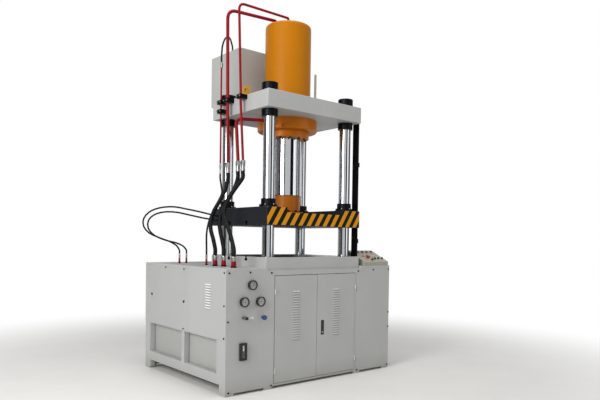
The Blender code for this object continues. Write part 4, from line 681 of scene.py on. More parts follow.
for corner in CORNERS:
    node = "guide_bush_" + corner
    low, high = span(node)
    flange = (high.x - low.x) / 2
    bush = bmesh.new()
    turned(bush, eased([(BUSH_BORE, low.z), (BUSH_BODY, low.z), (BUSH_BODY, BUSH_FLANGE_Z[0]),
                        (flange, BUSH_FLANGE_Z[0]), (flange, BUSH_FLANGE_Z[1]), (BUSH_NOSE, BUSH_FLANGE_Z[1]),
                        (BUSH_NOSE, high.z), (BUSH_BORE, high.z)], BUSH_EDGE), ((low + high) / 2).xy.to_3d(),
           sides=96)
    finished("flanged_bush_" + corner, bush, [BLACK_OXIDE], "blackened_steel", body="slide_assembly",
             stands_for=[node])

# Filling tank
# A welded sheet box behind the cylinder, on two skids. It floods the cylinder while the slide drops.
# It has the same grey enamel as the plates, with a thin hose into its left end and a flanged outlet.
TANK_EDGE = 0.0030

dressed("welded_tank", "filling_tank", [PLATE_GREY], "light_grey_enamel", edge=TANK_EDGE)

# Rigid pipes
# Drawn steel tube, bent cold and painted crimson, from the cylinder down to the hoses.
# At its lower end each pipe has a bright zinc union: a hexagon nut over a ferrule that is crimped on the hose.
CRIMSON_PAINT = enamel("crimson_enamel", "#8C0A18", 0.34, cloud=0.10, sheen=0.15)
CLAMP_TOP = 2.414
CLAMP_FOOT = 2.342
PIPE_FOOT = 1.850
PIPE_END = 3.1276
PILOT_TOP = 2.680
PILOT_CAP_TOP = 2.725
PILOT_CAP_RADIUS = 0.012
PIPE_ROUTES = {
    "main_pressure_pipe": (0.028, 0.085, [
        (PIPE_X, 0.087, PIPE_FOOT), (PIPE_X, 0.104, CLAMP_FOOT), (PIPE_X, 0.104, CLAMP_TOP),
        (PIPE_X, 0.118, 3.1563), (-0.100, 0.060, 3.1563), (-0.100, 0.060, PIPE_END)]),
    "fast_approach_pipe": (0.021, 0.060, [
        (PIPE_X, -0.140, PIPE_FOOT), (PIPE_X, -0.094, CLAMP_FOOT), (PIPE_X, -0.094, CLAMP_TOP),
        (PIPE_X, -0.055, 3.1603), (-0.050, -0.060, 3.1603), (-0.050, -0.060, PIPE_END)]),
    "return_pipe": (0.028, 0.050, [
        (PIPE_X, -0.067, PIPE_FOOT), (PIPE_X, -0.030, 2.205), (-0.360, -0.130, 2.205), (-0.2703, -0.130, 2.205)]),
    "pilot_pipe": (0.015, 0.010, [(PIPE_X, 0.208, PIPE_FOOT), (PIPE_X, 0.208, PILOT_TOP)]),
}
UNION_RADIUS = {"pilot_pipe": 0.0096}
WIDE_UNION = 0.0204
# The ferrule and the nut as shares of the union's radius, with their heights.
FERRULE = ((0, 1.7600), (0.93, 1.7600), (0.93, 1.7720), (0.86, 1.7760), (0.86, 1.7975), (0.93, 1.8015),
           (0.93, 1.8095), (0, 1.8095))
UNION_NUT = ((0, 1.8095), (0.90, 1.8095), (1, 1.8115), (1, 1.8440), (0.90, 1.8465), (0, 1.8465))


def bent(corners, radius, steps=8):
    """A pipe's route with its corners bent to a radius, as short chords."""
    points = [Vector(corner) for corner in corners]
    route = [points[0]]
    for before, corner, after in zip(points, points[1:], points[2:]):
        back, ahead = (before - corner).normalized(), (after - corner).normalized()
        turn = math.pi - back.angle(ahead)
        reach = min(radius * math.tan(turn / 2), (before - corner).length * 0.49, (after - corner).length * 0.49)
        start, end = corner + back * reach, corner + ahead * reach
        count = max(2, round(steps * turn / (math.pi / 2)))
        for step in range(count + 1):
            t = step / count
            route.append(start * (1 - t) ** 2 + corner * 2 * t * (1 - t) + end * t * t)
    return route + [points[-1]]


def widened(profile, width):
    """A profile in metres from one whose radii are shares of a width."""
    return [(share * width, height) for share, height in profile]


for node, (pipe_diameter, bend_radius, corners) in PIPE_ROUTES.items():
    pipe = bmesh.new()
    swept(pipe, bent(corners, bend_radius), pipe_diameter / 2)
    finished(node + "_tube", pipe, [CRIMSON_PAINT], "red_pipe_enamel", stands_for=[node]).modifiers.clear()
    fittings = bmesh.new()
    union_radius = UNION_RADIUS.get(node, WIDE_UNION)
    below = (corners[0][0], corners[0][1], 0)
    turned(fittings, eased(widened(FERRULE, union_radius), 0.0012), below, sides=48)
    turned(fittings, widened(UNION_NUT, union_radius), below, sides=6)
    if node == "pilot_pipe":
        turned(fittings, eased(sleeve(0, PILOT_CAP_RADIUS, PILOT_TOP, PILOT_CAP_TOP), 0.0015), below, sides=48)
    finished(node + "_union", fittings, [ZINC_PLATE], "machined_steel", stands_for=[node], edge=0.0006)

# Deck
# Folded steel trays round the foot of the press. They close the cabinet, in the same grey enamel.
# Six fittings stand on the left one. Each has a black hexagon base, a crimson collar and a bright crimped ferrule.
DECK_TOP = 0.970
SHEET_EDGE = 0.0008
SHEET_CREASE = 15
# The deck fittings as shares of their hose's diameter, with their heights.
FITTING_BASE = ((0, DECK_TOP), (0.72, DECK_TOP), (0.72, 0.979), (0.64, 0.981), (0, 0.981))
FITTING_COLLAR = ((0, 0.981), (0.60, 0.981), (0.60, 1.000), (0.56, 1.003), (0.56, 1.020), (0, 1.020))
FITTING_FERRULE = ((0, 1.020), (0.53, 1.020), (0.53, 1.028), (0.57, 1.031), (0.57, 1.052), (0.53, 1.058),
                   (0, 1.058))
DECK_FITTINGS = ((-0.722, 0.030, THICK_HOSE), (-0.703, -0.073, THICK_HOSE), (-0.748, -0.289, THICK_HOSE),
                 (-0.693, 0.218, THIN_HOSE), (-0.743, 0.606, LOOP_HOSE), (-0.652, 0.643, LOOP_HOSE))
COLLAR_RED = enamel("collar_red_enamel", "#870A1B", 0.36, sheen=0.15)
FERRULE_ROSE = metal("rose_zinc_plate", "#D3A9A6", 0.26, 0.0008, stain=0.15)


def without(shape, dropped):
    """Drops the faces whose middle dropped(middle) picks, and closes the holes that they leave."""
    faces = [face for face in shape.faces if dropped(face.calc_center_median())]
    bmesh.ops.delete(shape, geom=faces, context="FACES")
    bmesh.ops.holes_fill(shape, edges=[edge for edge in shape.edges if edge.is_boundary], sides=0)
    return shape


left_deck = without(reworked("left_deck_cover"), lambda middle: middle.z > DECK_TOP + 0.0002)
finished("left_deck", left_deck, [CABINET_GREY], "light_grey_enamel", stands_for=["left_deck_cover"],
         edge=SHEET_EDGE)
dressed("rear_deck", "rear_deck_cover", [CABINET_GREY], "light_grey_enamel", edge=SHEET_EDGE)
fittings = bmesh.new()
for fitting_x, fitting_y, diameter in DECK_FITTINGS:
    place = (fitting_x, fitting_y, 0)
    turned(fittings, widened(FITTING_BASE, diameter), place, sides=6)
    turned(fittings, eased(widened(FITTING_COLLAR, diameter), 0.002), place, sides=48, finish=1)
    turned(fittings, eased(widened(FITTING_FERRULE, diameter), 0.001), place, sides=48,
           finish=3 if diameter == LOOP_HOSE else 2)
finished("deck_fittings", fittings, [BLACK_OXIDE, COLLAR_RED, ZINC_PLATE, FERRULE_ROSE], "red_pipe_enamel",
         stands_for=["left_deck_cover"], edge=0.0005)

# Cabinet panels
# Folded sheets screwed to the frame. The front left one carries the gauges, its cock body and the knob's seat.
# The left covers lift off, each held by a black cam lock, and pressed louvres let the motor's heat out.
COCK_AT = (-0.757, 0.592)
KNOB_AT = (-0.579, 0.585)
CAM_LOCKS = ((0.200, 0.669), (0.793, 0.688))
CAM_REACH = 0.0125
SEAT_REACH = 0.02
PANEL_FRONT = -0.4472
COVER_SIDE = -0.9165
LOUVRE_PITCH = 0.0205
LOUVRE_LIP = 0.0035
LOUVRE_SLOPE = (0.3, 0.6)
# The dark colour of the painted shade along each louvre's lip.
LIP_PAINTED_SHADE = "#4A4A47"
COVER_LOUVRE_FOOT = 0.645


def near(u, v, spot, reach):
    """True of a place on a sheet that is within reach of a spot."""
    return math.hypot(u - spot[0], v - spot[1]) < reach


def sloped(normal):
    """True of a louvre's raised face, which leans back by 26 degrees."""
    return LOUVRE_SLOPE[0] < normal.z < LOUVRE_SLOPE[1]


def louvre_painted_light(name, code, foot):
    """Enamel for a bank of louvres above a height: its paler colour is a painted highlight where they slope, and a
    dark line along each lip is painted shade.
    """
    paint = enamel(name, code, 0.4)
    tree = paint.node_tree
    base = tree.nodes["Principled BSDF"].inputs["Base Color"]
    place = add(tree, "ShaderNodeTexCoord").outputs["Object"]
    height = add(tree, "ShaderNodeSeparateXYZ", {"Vector": place}).outputs["Z"]
    above = add(tree, "ShaderNodeMath", {"Value": height, "Value_001": foot}, operation="SUBTRACT")
    step = add(tree, "ShaderNodeMath", {"Value": above.outputs[0], "Value_001": LOUVRE_PITCH},
               operation="FLOORED_MODULO")
    # Darkens the lowest part of each louvre: painted shade along its lip.
    painted_lip_shade = add(tree, "ShaderNodeMapRange", {"Value": step.outputs[0], "From Min": LOUVRE_LIP * 0.7,
                                           "From Max": LOUVRE_LIP, "To Min": 0.8, "To Max": 0.0})
    tone = add(tree, "ShaderNodeMix", {"Factor_Float": painted_lip_shade.outputs[0], "A_Color": base.links[0].from_socket,
                                       "B_Color": colour(LIP_PAINTED_SHADE)}, data_type="RGBA")
    tree.links.new(tone.outputs[2], base)
    return paint


def gauge_panel_finish(middle, normal):
    """The sheet, and the cock's body and the knob's seat that stand out from it."""
    return int(middle.y < PANEL_FRONT and any(near(middle.x, middle.z, seat, SEAT_REACH)
                                              for seat in (COCK_AT, KNOB_AT)))


def left_cover_finish(middle, normal):
    """The sheet, the cam lock that stands out from it, and the louvres with their painted highlight and shade."""
    if sloped(normal):
        return 2
    return int(middle.x < COVER_SIDE and any(near(middle.y, middle.z, lock, CAM_REACH) for lock in CAM_LOCKS))


dressed("front_left_panel", "gauge_panel", [CABINET_GREY, ZINC_PLATE], "light_grey_enamel", gauge_panel_finish,
        edge=SHEET_EDGE, crease=SHEET_CREASE)
# The covers' louvres are painted near white: a painted highlight on the faces that slope up to the lamps.
COVER_LOUVRE_PAINTED_LIGHT = louvre_painted_light("cover_louvre_painted_light", "#E9E9E5", COVER_LOUVRE_FOOT)
for node in ("left_cover_front", "left_cover_rear"):
    dressed(node + "_sheet", node, [CABINET_GREY, BLACK_OXIDE, COVER_LOUVRE_PAINTED_LIGHT], "light_grey_enamel",
            left_cover_finish, edge=SHEET_EDGE, crease=SHEET_CREASE)
for node in ("right_front_panel", "right_cover", "rear_cover"):
    dressed(node + "_sheet", node, [CABINET_GREY], "light_grey_enamel", edge=SHEET_EDGE)

# Doors
# Two folded doors in front, with twenty pressed louvres each. They turn on bright knuckle hinges.
# A black pull latch with a round lock at its foot holds the pair shut.
HINGE_X = {"left_door": -0.4545, "right_door": 0.4475}
KNUCKLE_REACH = 0.0075
DOOR_LOUVRE_FOOT = 0.376
# The doors' louvres are painted paler than the sheet: a painted highlight on their sloped faces.
DOOR_LOUVRE_PAINTED_LIGHT = louvre_painted_light("door_louvre_painted_light", "#CDCDC9", DOOR_LOUVRE_FOOT)
LATCH_EDGE = 0.0030
LOCK_RADIUS = 0.0085
LOCK_DEPTH = 0.0022
LOCK_UP = 0.020


def door_finish(hinge_x):
    """The chooser of a door's finish: its sheet, its hinge halves or its louvres with their painted highlight and
    shade.
    """
    def chosen(middle, normal):
        if sloped(normal):
            return 2
        return int(middle.y < HINGE_FRONT and abs(middle.x - hinge_x) < KNUCKLE_REACH)
    return chosen


for door, hinge_x in HINGE_X.items():
    dressed(door + "_leaf", door, [CABINET_GREY, SATIN_NICKEL, DOOR_LOUVRE_PAINTED_LIGHT], "light_grey_enamel",
            door_finish(hinge_x), body=door + "_panel", edge=SHEET_EDGE, crease=SHEET_CREASE)
dressed("pull_latch", "door_handle", [BLACK_PLASTIC], "black_plastic", body="latch_handle", edge=LATCH_EDGE)
LATCH_LOW, LATCH_HIGH = span("door_handle")
lock = bmesh.new()
turned(lock, eased(sleeve(0, LOCK_RADIUS, 0, LOCK_DEPTH), 0.0006),
       ((LATCH_LOW.x + LATCH_HIGH.x) / 2, LATCH_LOW.y + FIT, LATCH_LOW.z + LOCK_UP), along=(0, -1, 0), sides=40)
finished("latch_lock", lock, [ZINC_PLATE], "machined_steel", body="latch_handle", edge=0.0003)

# Pressure gauges
# Three glycerine gauges with crimped black steel cases, each with a grey dial, a plain scale and a black pointer.
# The glass is drawn as a clear coat over the dial.
GAUGES = {"main_pressure_gauge": (-0.684, 0.842, 0.62), "system_pressure_gauge": (-0.758, 0.714, 0.30),
          "filling_pressure_gauge": (-0.605, 0.711, 0.12)}
GAUGE_BACK = -0.4473
CASE_RADIUS = 0.0395
CASE_DEPTH = 0.028
CRIMP_OUT = 0.003
CRIMP_Z = (0.016, 0.018)
DIAL_RADIUS = 0.0305
DIAL_HEIGHT = 0.0222
DIAL_GAP = 0.0004
DIAL_SHEET = 0.0002
STEM_RADIUS = 0.010
STEM_LENGTH = 0.030
SCALE_START = math.radians(225)
SCALE_SWEEP = math.radians(-270)
SCALE_STEPS = 6
NUMERAL_SIZE = 0.0068
NUMERAL_RADIUS = 0.0187
NUMERAL_DEPTH = 0.00005
NEEDLE_REACH = (-0.009, 0.024)
NEEDLE_HALF = 0.0007
NEEDLE_DEPTH = 0.0005
NEEDLE_UP = 0.0010
HUB_RADIUS = 0.0035
HUB_DEPTH = 0.002
# The scale's fine and main marks: how many, the radius of their middles and the size of each.
MARKS = {"gauge_scales": (31, 0.0270, (0.0034, 0.0006, 0.0004)),
         "gauge_main_marks": (7, 0.0257, (0.0062, 0.0012, 0.0005))}
DIAL_GREY = material("dial_print_grey", base_color=colour("#9C9C97"), roughness=0.35, coat_weight=1.0,
                     coat_roughness=0.03)[0]
SCALE_BLACK = plastic("scale_black", "#121315", 0.45)
CASE_BLACK = enamel("case_black_enamel", "#1A1B1D", 0.3, coat=0.3)


def block(shape, x, y, z, edge=0.0, turn=None, finish=0):
    """Adds a box between pairs of limits, its edges rounded by edge, then turned about the axis by a matrix."""
    size = (x[1] - x[0], y[1] - y[0], z[1] - z[0])
    middle = Vector(((x[0] + x[1]) / 2, (y[0] + y[1]) / 2, (z[0] + z[1]) / 2))
    place = Matrix.Translation(middle) @ Matrix.Diagonal((*size, 1))
    corners = bmesh.ops.create_cube(shape, size=1, matrix=(turn or Matrix()) @ place)["verts"]
    faces = {face for corner in corners for face in corner.link_faces}
    for face in faces:
        face.material_index = finish
    if edge:
        edges = sorted({side for corner in corners for side in corner.link_edges}, key=lambda side: side.index)
        bmesh.ops.bevel(shape, geom=edges, offset=edge, segments=3, profile=0.5, affect="EDGES", material=finish)


def on_face(point, facing, spin=0.0):
    """A matrix whose Z axis faces away from a surface at a point, and whose X axis is level."""
    facing = Vector(facing).normalized()
    level = Vector((0, 0, 1)).cross(facing)
    level = level.normalized() if level.length > 0.1 else Vector((1, 0, 0))
    turn = Matrix((level, facing.cross(level), facing)).transposed().to_4x4()
    return Matrix.Translation(Vector(point)) @ turn @ Matrix.Rotation(spin, 4, "Z")


def group(name, *inputs):
    """A Geometry Nodes tree with a geometry input, an output, and inputs given by name and socket kind."""
    tree = bpy.data.node_groups.new(name, "GeometryNodeTree")
    tree.interface.new_socket("Geometry", in_out="INPUT", socket_type="NodeSocketGeometry")
    for title, kind in inputs:
        tree.interface.new_socket(title, in_out="INPUT", socket_type=kind)
    tree.interface.new_socket("Geometry", in_out="OUTPUT", socket_type="NodeSocketGeometry")
    return tree, add(tree, "NodeGroupInput").outputs


def set_down(tree, places, copy, finish):
    """Ends a tree: one copy on each place, turned to face along the place's facing attribute, in one material."""
    facing = add(tree, "GeometryNodeInputNamedAttribute", {"Name": "facing"}, data_type="FLOAT_VECTOR")
    turn = add(tree, "FunctionNodeAlignRotationToVector", {"Vector": facing.outputs[0]}, axis="Z")
    copies = add(tree, "GeometryNodeInstanceOnPoints", {"Points": places, "Instance": copy,
                                                        "Rotation": turn.outputs[0]})
    whole = add(tree, "GeometryNodeRealizeInstances", {"Geometry": copies.outputs[0]})
    painted = add(tree, "GeometryNodeSetMaterial", {"Geometry": whole.outputs[0], "Material": finish})
    add(tree, "NodeGroupOutput", {"Geometry": painted.outputs[0]})
    return tree


def radial_bars():
    """Bars set round an arc, pointing at its middle: the ticks of a scale or the ribs of a knob."""
    tree, given = group("radial_bars", ("Count", "NodeSocketInt"), ("Radius", "NodeSocketFloat"),
                        ("Start", "NodeSocketFloat"), ("Step", "NodeSocketFloat"),
                        ("Bar Size", "NodeSocketVector"), ("Finish", "NodeSocketMaterial"))
    index = add(tree, "GeometryNodeInputIndex").outputs[0]
    turns = add(tree, "ShaderNodeMath", {"Value": index, "Value_001": given["Step"]}, operation="MULTIPLY")
    angle = add(tree, "ShaderNodeMath", {"Value": turns.outputs[0], "Value_001": given["Start"]}, operation="ADD")
    way = [add(tree, "ShaderNodeMath", {"Value": angle.outputs[0]}, operation=kind) for kind in ("COSINE", "SINE")]
    unit = add(tree, "ShaderNodeCombineXYZ", {"X": way[0].outputs[0], "Y": way[1].outputs[0]})
    out = add(tree, "ShaderNodeVectorMath", {"Vector": unit.outputs[0], "Scale": given["Radius"]},
              operation="SCALE")
    points = add(tree, "GeometryNodePoints", {"Count": given["Count"], "Position": out.outputs[0]})
    spin = add(tree, "ShaderNodeCombineXYZ", {"Z": angle.outputs[0]})
    bar = add(tree, "GeometryNodeMeshCube", {"Size": given["Bar Size"]})
    bars = add(tree, "GeometryNodeInstanceOnPoints", {"Points": points.outputs[0], "Instance": bar.outputs[0],
                                                      "Rotation": spin.outputs[0]})
    return set_down(tree, given["Geometry"], bars.outputs[0], given["Finish"])


def grown(name, tree, places, finish, slot, body="press_frame", edge=0.0, stands_for=(), **sizes):
    """Runs a tree on places, each a point and the way that its copy faces, and makes the result one piece.

    sizes are the tree's inputs, their names written with underscores.
    """
    cloud = bpy.data.meshes.new(name + "_places")
    cloud.from_pydata([tuple(point) for point, facing in places], [], [])
    facings = cloud.attributes.new("facing", "FLOAT_VECTOR", "POINT")
    for entry, (point, facing) in zip(facings.data, places):
        entry.vector = facing
    holder = placed(name + "_places", cloud)
    modifier = holder.modifiers.new("grown", "NODES")
    modifier.node_group = tree
    values = {"Finish": finish, **{key.replace("_", " ").title(): value for key, value in sizes.items()}}
    for item in tree.interface.items_tree:
        if item.in_out == "INPUT" and item.name in values:
            modifier[item.identifier] = values[item.name]
    bpy.context.view_layer.update()
    evaluated = holder.evaluated_get(bpy.context.evaluated_depsgraph_get())
    mesh = bpy.data.meshes.new_from_object(evaluated)
    bpy.data.objects.remove(holder)
    shape = bmesh.new()
    shape.from_mesh(mesh)
    return finished(name, shape, [finish], slot, body, stands_for, edge)


def numeral(shape, text, size, place):
    """Adds a flat plain number, centred on a matrix."""
    letters = bpy.data.curves.new("numeral", "FONT")
    letters.body = text
    letters.size = size
    letters.align_x = letters.align_y = "CENTER"
    letters.extrude = NUMERAL_DEPTH
    holder = placed("numeral", letters)
    bpy.context.view_layer.update()
    mesh = bpy.data.meshes.new_from_object(holder)
    mesh.transform(place)
    bpy.data.objects.remove(holder)
    shape.from_mesh(mesh)


RADIAL_BARS = radial_bars()
FRONT = Vector((0, -1, 0))
dial_centres = []
for node, (gauge_x, gauge_z, reading) in GAUGES.items():
    back = Vector((gauge_x, GAUGE_BACK, gauge_z))
    case = bmesh.new()
    turned(case, eased([(0, -STEM_LENGTH), (STEM_RADIUS, -STEM_LENGTH), (STEM_RADIUS, 0),
                        (CASE_RADIUS - CRIMP_OUT, 0), (CASE_RADIUS - CRIMP_OUT, CRIMP_Z[0]),
                        (CASE_RADIUS, CRIMP_Z[1]), (CASE_RADIUS, CASE_DEPTH), (DIAL_RADIUS + 0.001, CASE_DEPTH),
                        (DIAL_RADIUS, DIAL_HEIGHT - DIAL_GAP), (0, DIAL_HEIGHT - DIAL_GAP)], 0.0012),
           back, along=FRONT, sides=72)
    turned(case, sleeve(0, DIAL_RADIUS - DIAL_GAP, DIAL_HEIGHT - DIAL_SHEET, DIAL_HEIGHT), back, along=FRONT,
           sides=72, finish=1)
    finished(node + "_case", case, [CASE_BLACK, DIAL_GREY], "blackened_steel", stands_for=[node])
    dial = back + FRONT * DIAL_HEIGHT
    dial_centres.append((dial, FRONT))
    print_work = bmesh.new()
    for step in range(SCALE_STEPS + 1):
        angle = SCALE_START + SCALE_SWEEP * step / SCALE_STEPS
        spot = dial + FRONT * DIAL_SHEET + Vector((math.cos(angle), 0, math.sin(angle))) * NUMERAL_RADIUS
        numeral(print_work, str(step * 10), NUMERAL_SIZE, on_face(spot, FRONT))
    angle = SCALE_START + SCALE_SWEEP * reading
    block(print_work, NEEDLE_REACH, (-NEEDLE_HALF, NEEDLE_HALF), (0, NEEDLE_DEPTH),
          turn=on_face(dial + FRONT * NEEDLE_UP, FRONT, angle))
    turned(print_work, eased(sleeve(0, HUB_RADIUS, 0, HUB_DEPTH), 0.0005), dial, along=FRONT, sides=32)
    finished(node + "_print", print_work, [SCALE_BLACK], "black_plastic", stands_for=[node]).modifiers.clear()
for name, (count, radius, size) in MARKS.items():
    grown(name, RADIAL_BARS, dial_centres, SCALE_BLACK, "black_plastic", count=count, radius=radius,
          start=SCALE_START, step=SCALE_SWEEP / (count - 1), bar_size=size)

# Gauge cock and needle valve
# A plug cock with a black hub and a pale moulded arm and ball.
# A moulded blue knob with a ribbed rim turns the needle valve beside it.
BLUE_PLASTIC = plastic("blue_plastic", "#24497E", 0.34)
IVORY_PLASTIC = plastic("ivory_plastic", "#C9C6BB", 0.3)
KNOB_RADIUS = 0.0178
KNOB_NECK = 0.012
KNOB_LOW, KNOB_HIGH = span("needle_valve_knob")
KNOB_DEPTH = KNOB_HIGH.y - KNOB_LOW.y
RIBS = 24
RIB_SIZE = (0.0022, 0.0024, 0.018)
RIB_Y = (KNOB_LOW.y + KNOB_HIGH.y) / 2 - 0.003
LEVER_HUB_X = -0.744

dressed("cock_lever", "gauge_cock_lever", [BLACK_PLASTIC, IVORY_PLASTIC], "black_plastic",
        lambda middle, normal: int(middle.x > LEVER_HUB_X), body="gauge_cock", edge=0.0008)
knob = bmesh.new()
turned(knob, eased([(0, 0), (0.010, 0), (KNOB_NECK, 0.0060), (KNOB_RADIUS, 0.0065),
                    (KNOB_RADIUS, KNOB_DEPTH - 0.001), (KNOB_NECK, KNOB_DEPTH), (0, KNOB_DEPTH - 0.0015)], 0.0016),
       (KNOB_AT[0], KNOB_HIGH.y, KNOB_AT[1]), along=FRONT, sides=72)
finished("blue_knob", knob, [BLUE_PLASTIC], "blue_plastic", body="needle_valve", stands_for=["needle_valve_knob"])
grown("blue_knob_ribs", RADIAL_BARS, [(Vector((KNOB_AT[0], RIB_Y, KNOB_AT[1])), FRONT)], BLUE_PLASTIC,
      "blue_plastic", body="needle_valve", edge=0.0005, count=RIBS, radius=KNOB_RADIUS, start=0.0,
      step=2 * math.pi / RIBS, bar_size=RIB_SIZE)

# Oil level gauge
# A glass tube before a white plate in a black frame, screwed to the panel.
# Brown oil stands past half way in the tube.
LEVEL_X = -0.761
LEVEL_Z = (0.283, 0.380)
OIL_LEVEL = 0.338
TUBE_RADIUS = 0.0050
TUBE_Y = -0.4606
BACK_Y = (-0.4562, -0.4556)
BACK_HALF = 0.0126
BACK_PAST = 0.0005
FRAME_EDGE = 0.0020
OIL_BROWN = material("hydraulic_oil", base_color=colour("#4A3620"), roughness=0.06, coat_weight=1.0)[0]
WHITE_GLASS = material("white_backed_glass", base_color=colour("#D9DAD6"), roughness=0.08, coat_weight=1.0)[0]
WHITE_BACK = plastic("white_back_plate", "#DEDFDB", 0.4)

dressed("level_frame", "oil_level_gauge", [BLACK_PLASTIC], "black_plastic", edge=FRAME_EDGE)
tube = bmesh.new()
for finish, (foot, top) in enumerate(((LEVEL_Z[0], OIL_LEVEL), (OIL_LEVEL, LEVEL_Z[1]))):
    turned(tube, sleeve(0, TUBE_RADIUS, foot, top), (LEVEL_X, TUBE_Y, 0), sides=40, finish=finish)
block(tube, (LEVEL_X - BACK_HALF, LEVEL_X + BACK_HALF), BACK_Y,
      (LEVEL_Z[0] - BACK_PAST, LEVEL_Z[1] + BACK_PAST), finish=2)
finished("level_tube", tube, [OIL_BROWN, WHITE_GLASS, WHITE_BACK], "black_plastic", stands_for=["oil_level_gauge"])

# Control desk
# A folded sloping box on the right of the deck, in a slightly warmer grey. It carries four black push buttons,
# a red mushroom button, two pilot lamps and a row of small switches, all in bright or black rings.
DESK_GREY = enamel("desk_grey_enamel", "#A19E91", 0.42)
RED_PLASTIC = plastic("red_plastic", "#A80D12", 0.34)
LAMP_RED = material("lamp_red", base_color=colour("#8E1A1A"), roughness=0.15, coat_weight=1.0)[0]
LAMP_PALE = material("lamp_pale", base_color=colour("#C7D6C4"), roughness=0.15, coat_weight=1.0)[0]
DESK_LOW, DESK_HIGH = span("control_console")
DESK_LIP = 1.005
DESK_FOOT = Vector((DESK_LOW.x, DESK_LOW.y, DESK_LIP))
DESK_UP = Vector((0, DESK_HIGH.y - DESK_LOW.y, DESK_HIGH.z - DESK_LIP)).normalized()
DESK_OUT = Vector((1, 0, 0)).cross(DESK_UP)
DESK_EDGE = 0.0020
BUTTON_EDGE = 0.0012
MUSHROOM_EDGE = 0.0030
BUTTONS = [(0.090 + 0.060 * k, 0.200) for k in range(4)]
MUSHROOM = (0.117, 0.083)
LAMPS = ((0.084, 0.114, 2), (0.208, 0.101, 3))
SWITCHES = ((0.134, 0.036), (0.189, 0.057), (0.239, 0.062), (0.289, 0.060))
# What stands on the desk: a profile of radius and height over it, and how far its corners are rounded.
BUTTON_RING = ((0.0124, 0.0001), (0.0158, 0.0001), (0.0158, 0.0035), (0.0124, 0.0045)), 0.0008
MUSHROOM_RING = ((0.0130, 0.0001), (0.0190, 0.0001), (0.0180, 0.0026), (0.0130, 0.0033)), 0.0006
LAMP_RING = ((0, 0.0001), (0.0110, 0.0001), (0.0110, 0.0040), (0.0095, 0.0050), (0, 0.0050)), 0.0008
LAMP_LENS = ((0, 0.0050), (0.0085, 0.0050), (0.0080, 0.0100), (0, 0.0115)), 0.0020
SWITCH = ((0, 0.0001), (0.0120, 0.0001), (0.0120, 0.0030), (0.0085, 0.0040), (0.0080, 0.0160), (0, 0.0160)), 0.0010


def on_desk(shape, what, across, up, sides=40, finish=0):
    """Adds a turned piece on the desk's slope, so far across it and so far up it from its front left corner."""
    profile, ease = what
    turned(shape, eased(profile, ease), DESK_FOOT + Vector((across, 0, 0)) + DESK_UP * up, along=DESK_OUT,
           sides=sides, finish=finish)


dressed("desk_box", "control_console", [DESK_GREY], "light_grey_enamel", edge=DESK_EDGE)
desk = bmesh.new()
for across, up in BUTTONS:
    on_desk(desk, BUTTON_RING, across, up, sides=48)
on_desk(desk, MUSHROOM_RING, *MUSHROOM, sides=48)
for across, up, finish in LAMPS:
    on_desk(desk, LAMP_RING, across, up)
    on_desk(desk, LAMP_LENS, across, up, finish=finish)
for across, up in SWITCHES:
    on_desk(desk, SWITCH, across, up, finish=1)
finished("desk_rings_and_lamps", desk, [ZINC_PLATE, BLACK_PLASTIC, LAMP_RED, LAMP_PALE], "black_plastic",
         stands_for=["control_console"])
for number in range(1, 5):
    dressed(f"black_button_{number}", f"push_button_{number}", [BLACK_PLASTIC], "black_plastic",
            body=f"push_button_head_{number}", edge=BUTTON_EDGE)
dressed("mushroom_head", "emergency_button", [RED_PLASTIC], "red_plastic", body="emergency_stop",
        edge=MUSHROOM_EDGE)

# Limit sensors
# A blackened steel bar at the right of the slide, held off the plates by standoffs. Its two black blocks hold
# bright sensors, which watch the flag on the slide.
BLOCK_NEAR_X = 0.5502
BLOCK_FRONT = -0.317


def rail_finish(middle, normal):
    """The blocks, the sensors that they hold, and the bar with its standoffs."""
    if middle.x > BLOCK_NEAR_X:
        return 0 if abs(normal.x) > 0.9 or middle.y < BLOCK_FRONT else 1
    return 2


dressed("sensor_bar", "limit_sensor_rail", [BLACK_PLASTIC, ZINC_PLATE, BLACK_OXIDE], "machined_steel", rail_finish,
        edge=SHEET_EDGE)

# Screws
# Black socket screws hold every panel, and larger black ones hold the ram's foot and the gland.
# Bright ones hold the pipe clamps and the bushes' flanges.
UP, DOWN, LEFT = Vector((0, 0, 1)), Vector((0, 0, -1)), Vector((-1, 0, 0))
LEFT_FACE = -0.9160
FRONT_FACE = -0.4470
GAUGE_SCREWS = ((-0.889, 0.938), (-0.696, 0.940), (-0.490, 0.932), (-0.897, 0.569), (-0.888, 0.030),
                (-0.483, 0.030))
RIGHT_SCREWS = ((0.487, 0.925), (0.684, 0.933), (0.890, 0.932), (0.895, 0.527), (0.895, 0.391), (0.487, 0.030),
                (0.890, 0.030))
LEFT_SCREWS = ((0.527, 0.940), (-0.422, 0.940), (-0.422, 0.689), (-0.422, 0.442), (0.200, 0.940),
               (0.207, 0.4405))
CLAMP_FACE = -0.5918
CLAMPS = ((0.104, 2.378), (-0.094, 2.378), (0.208, 2.378), (0.208, 2.300))
CLAMP_SCREW_SIDE = 0.021
COLUMN_AT = (0.428, 0.309)
BUSH_CIRCLE = 0.0705
FOOT_CIRCLE = 0.141
GLAND_FACE = 2.1007
GLAND_CIRCLE = 0.165


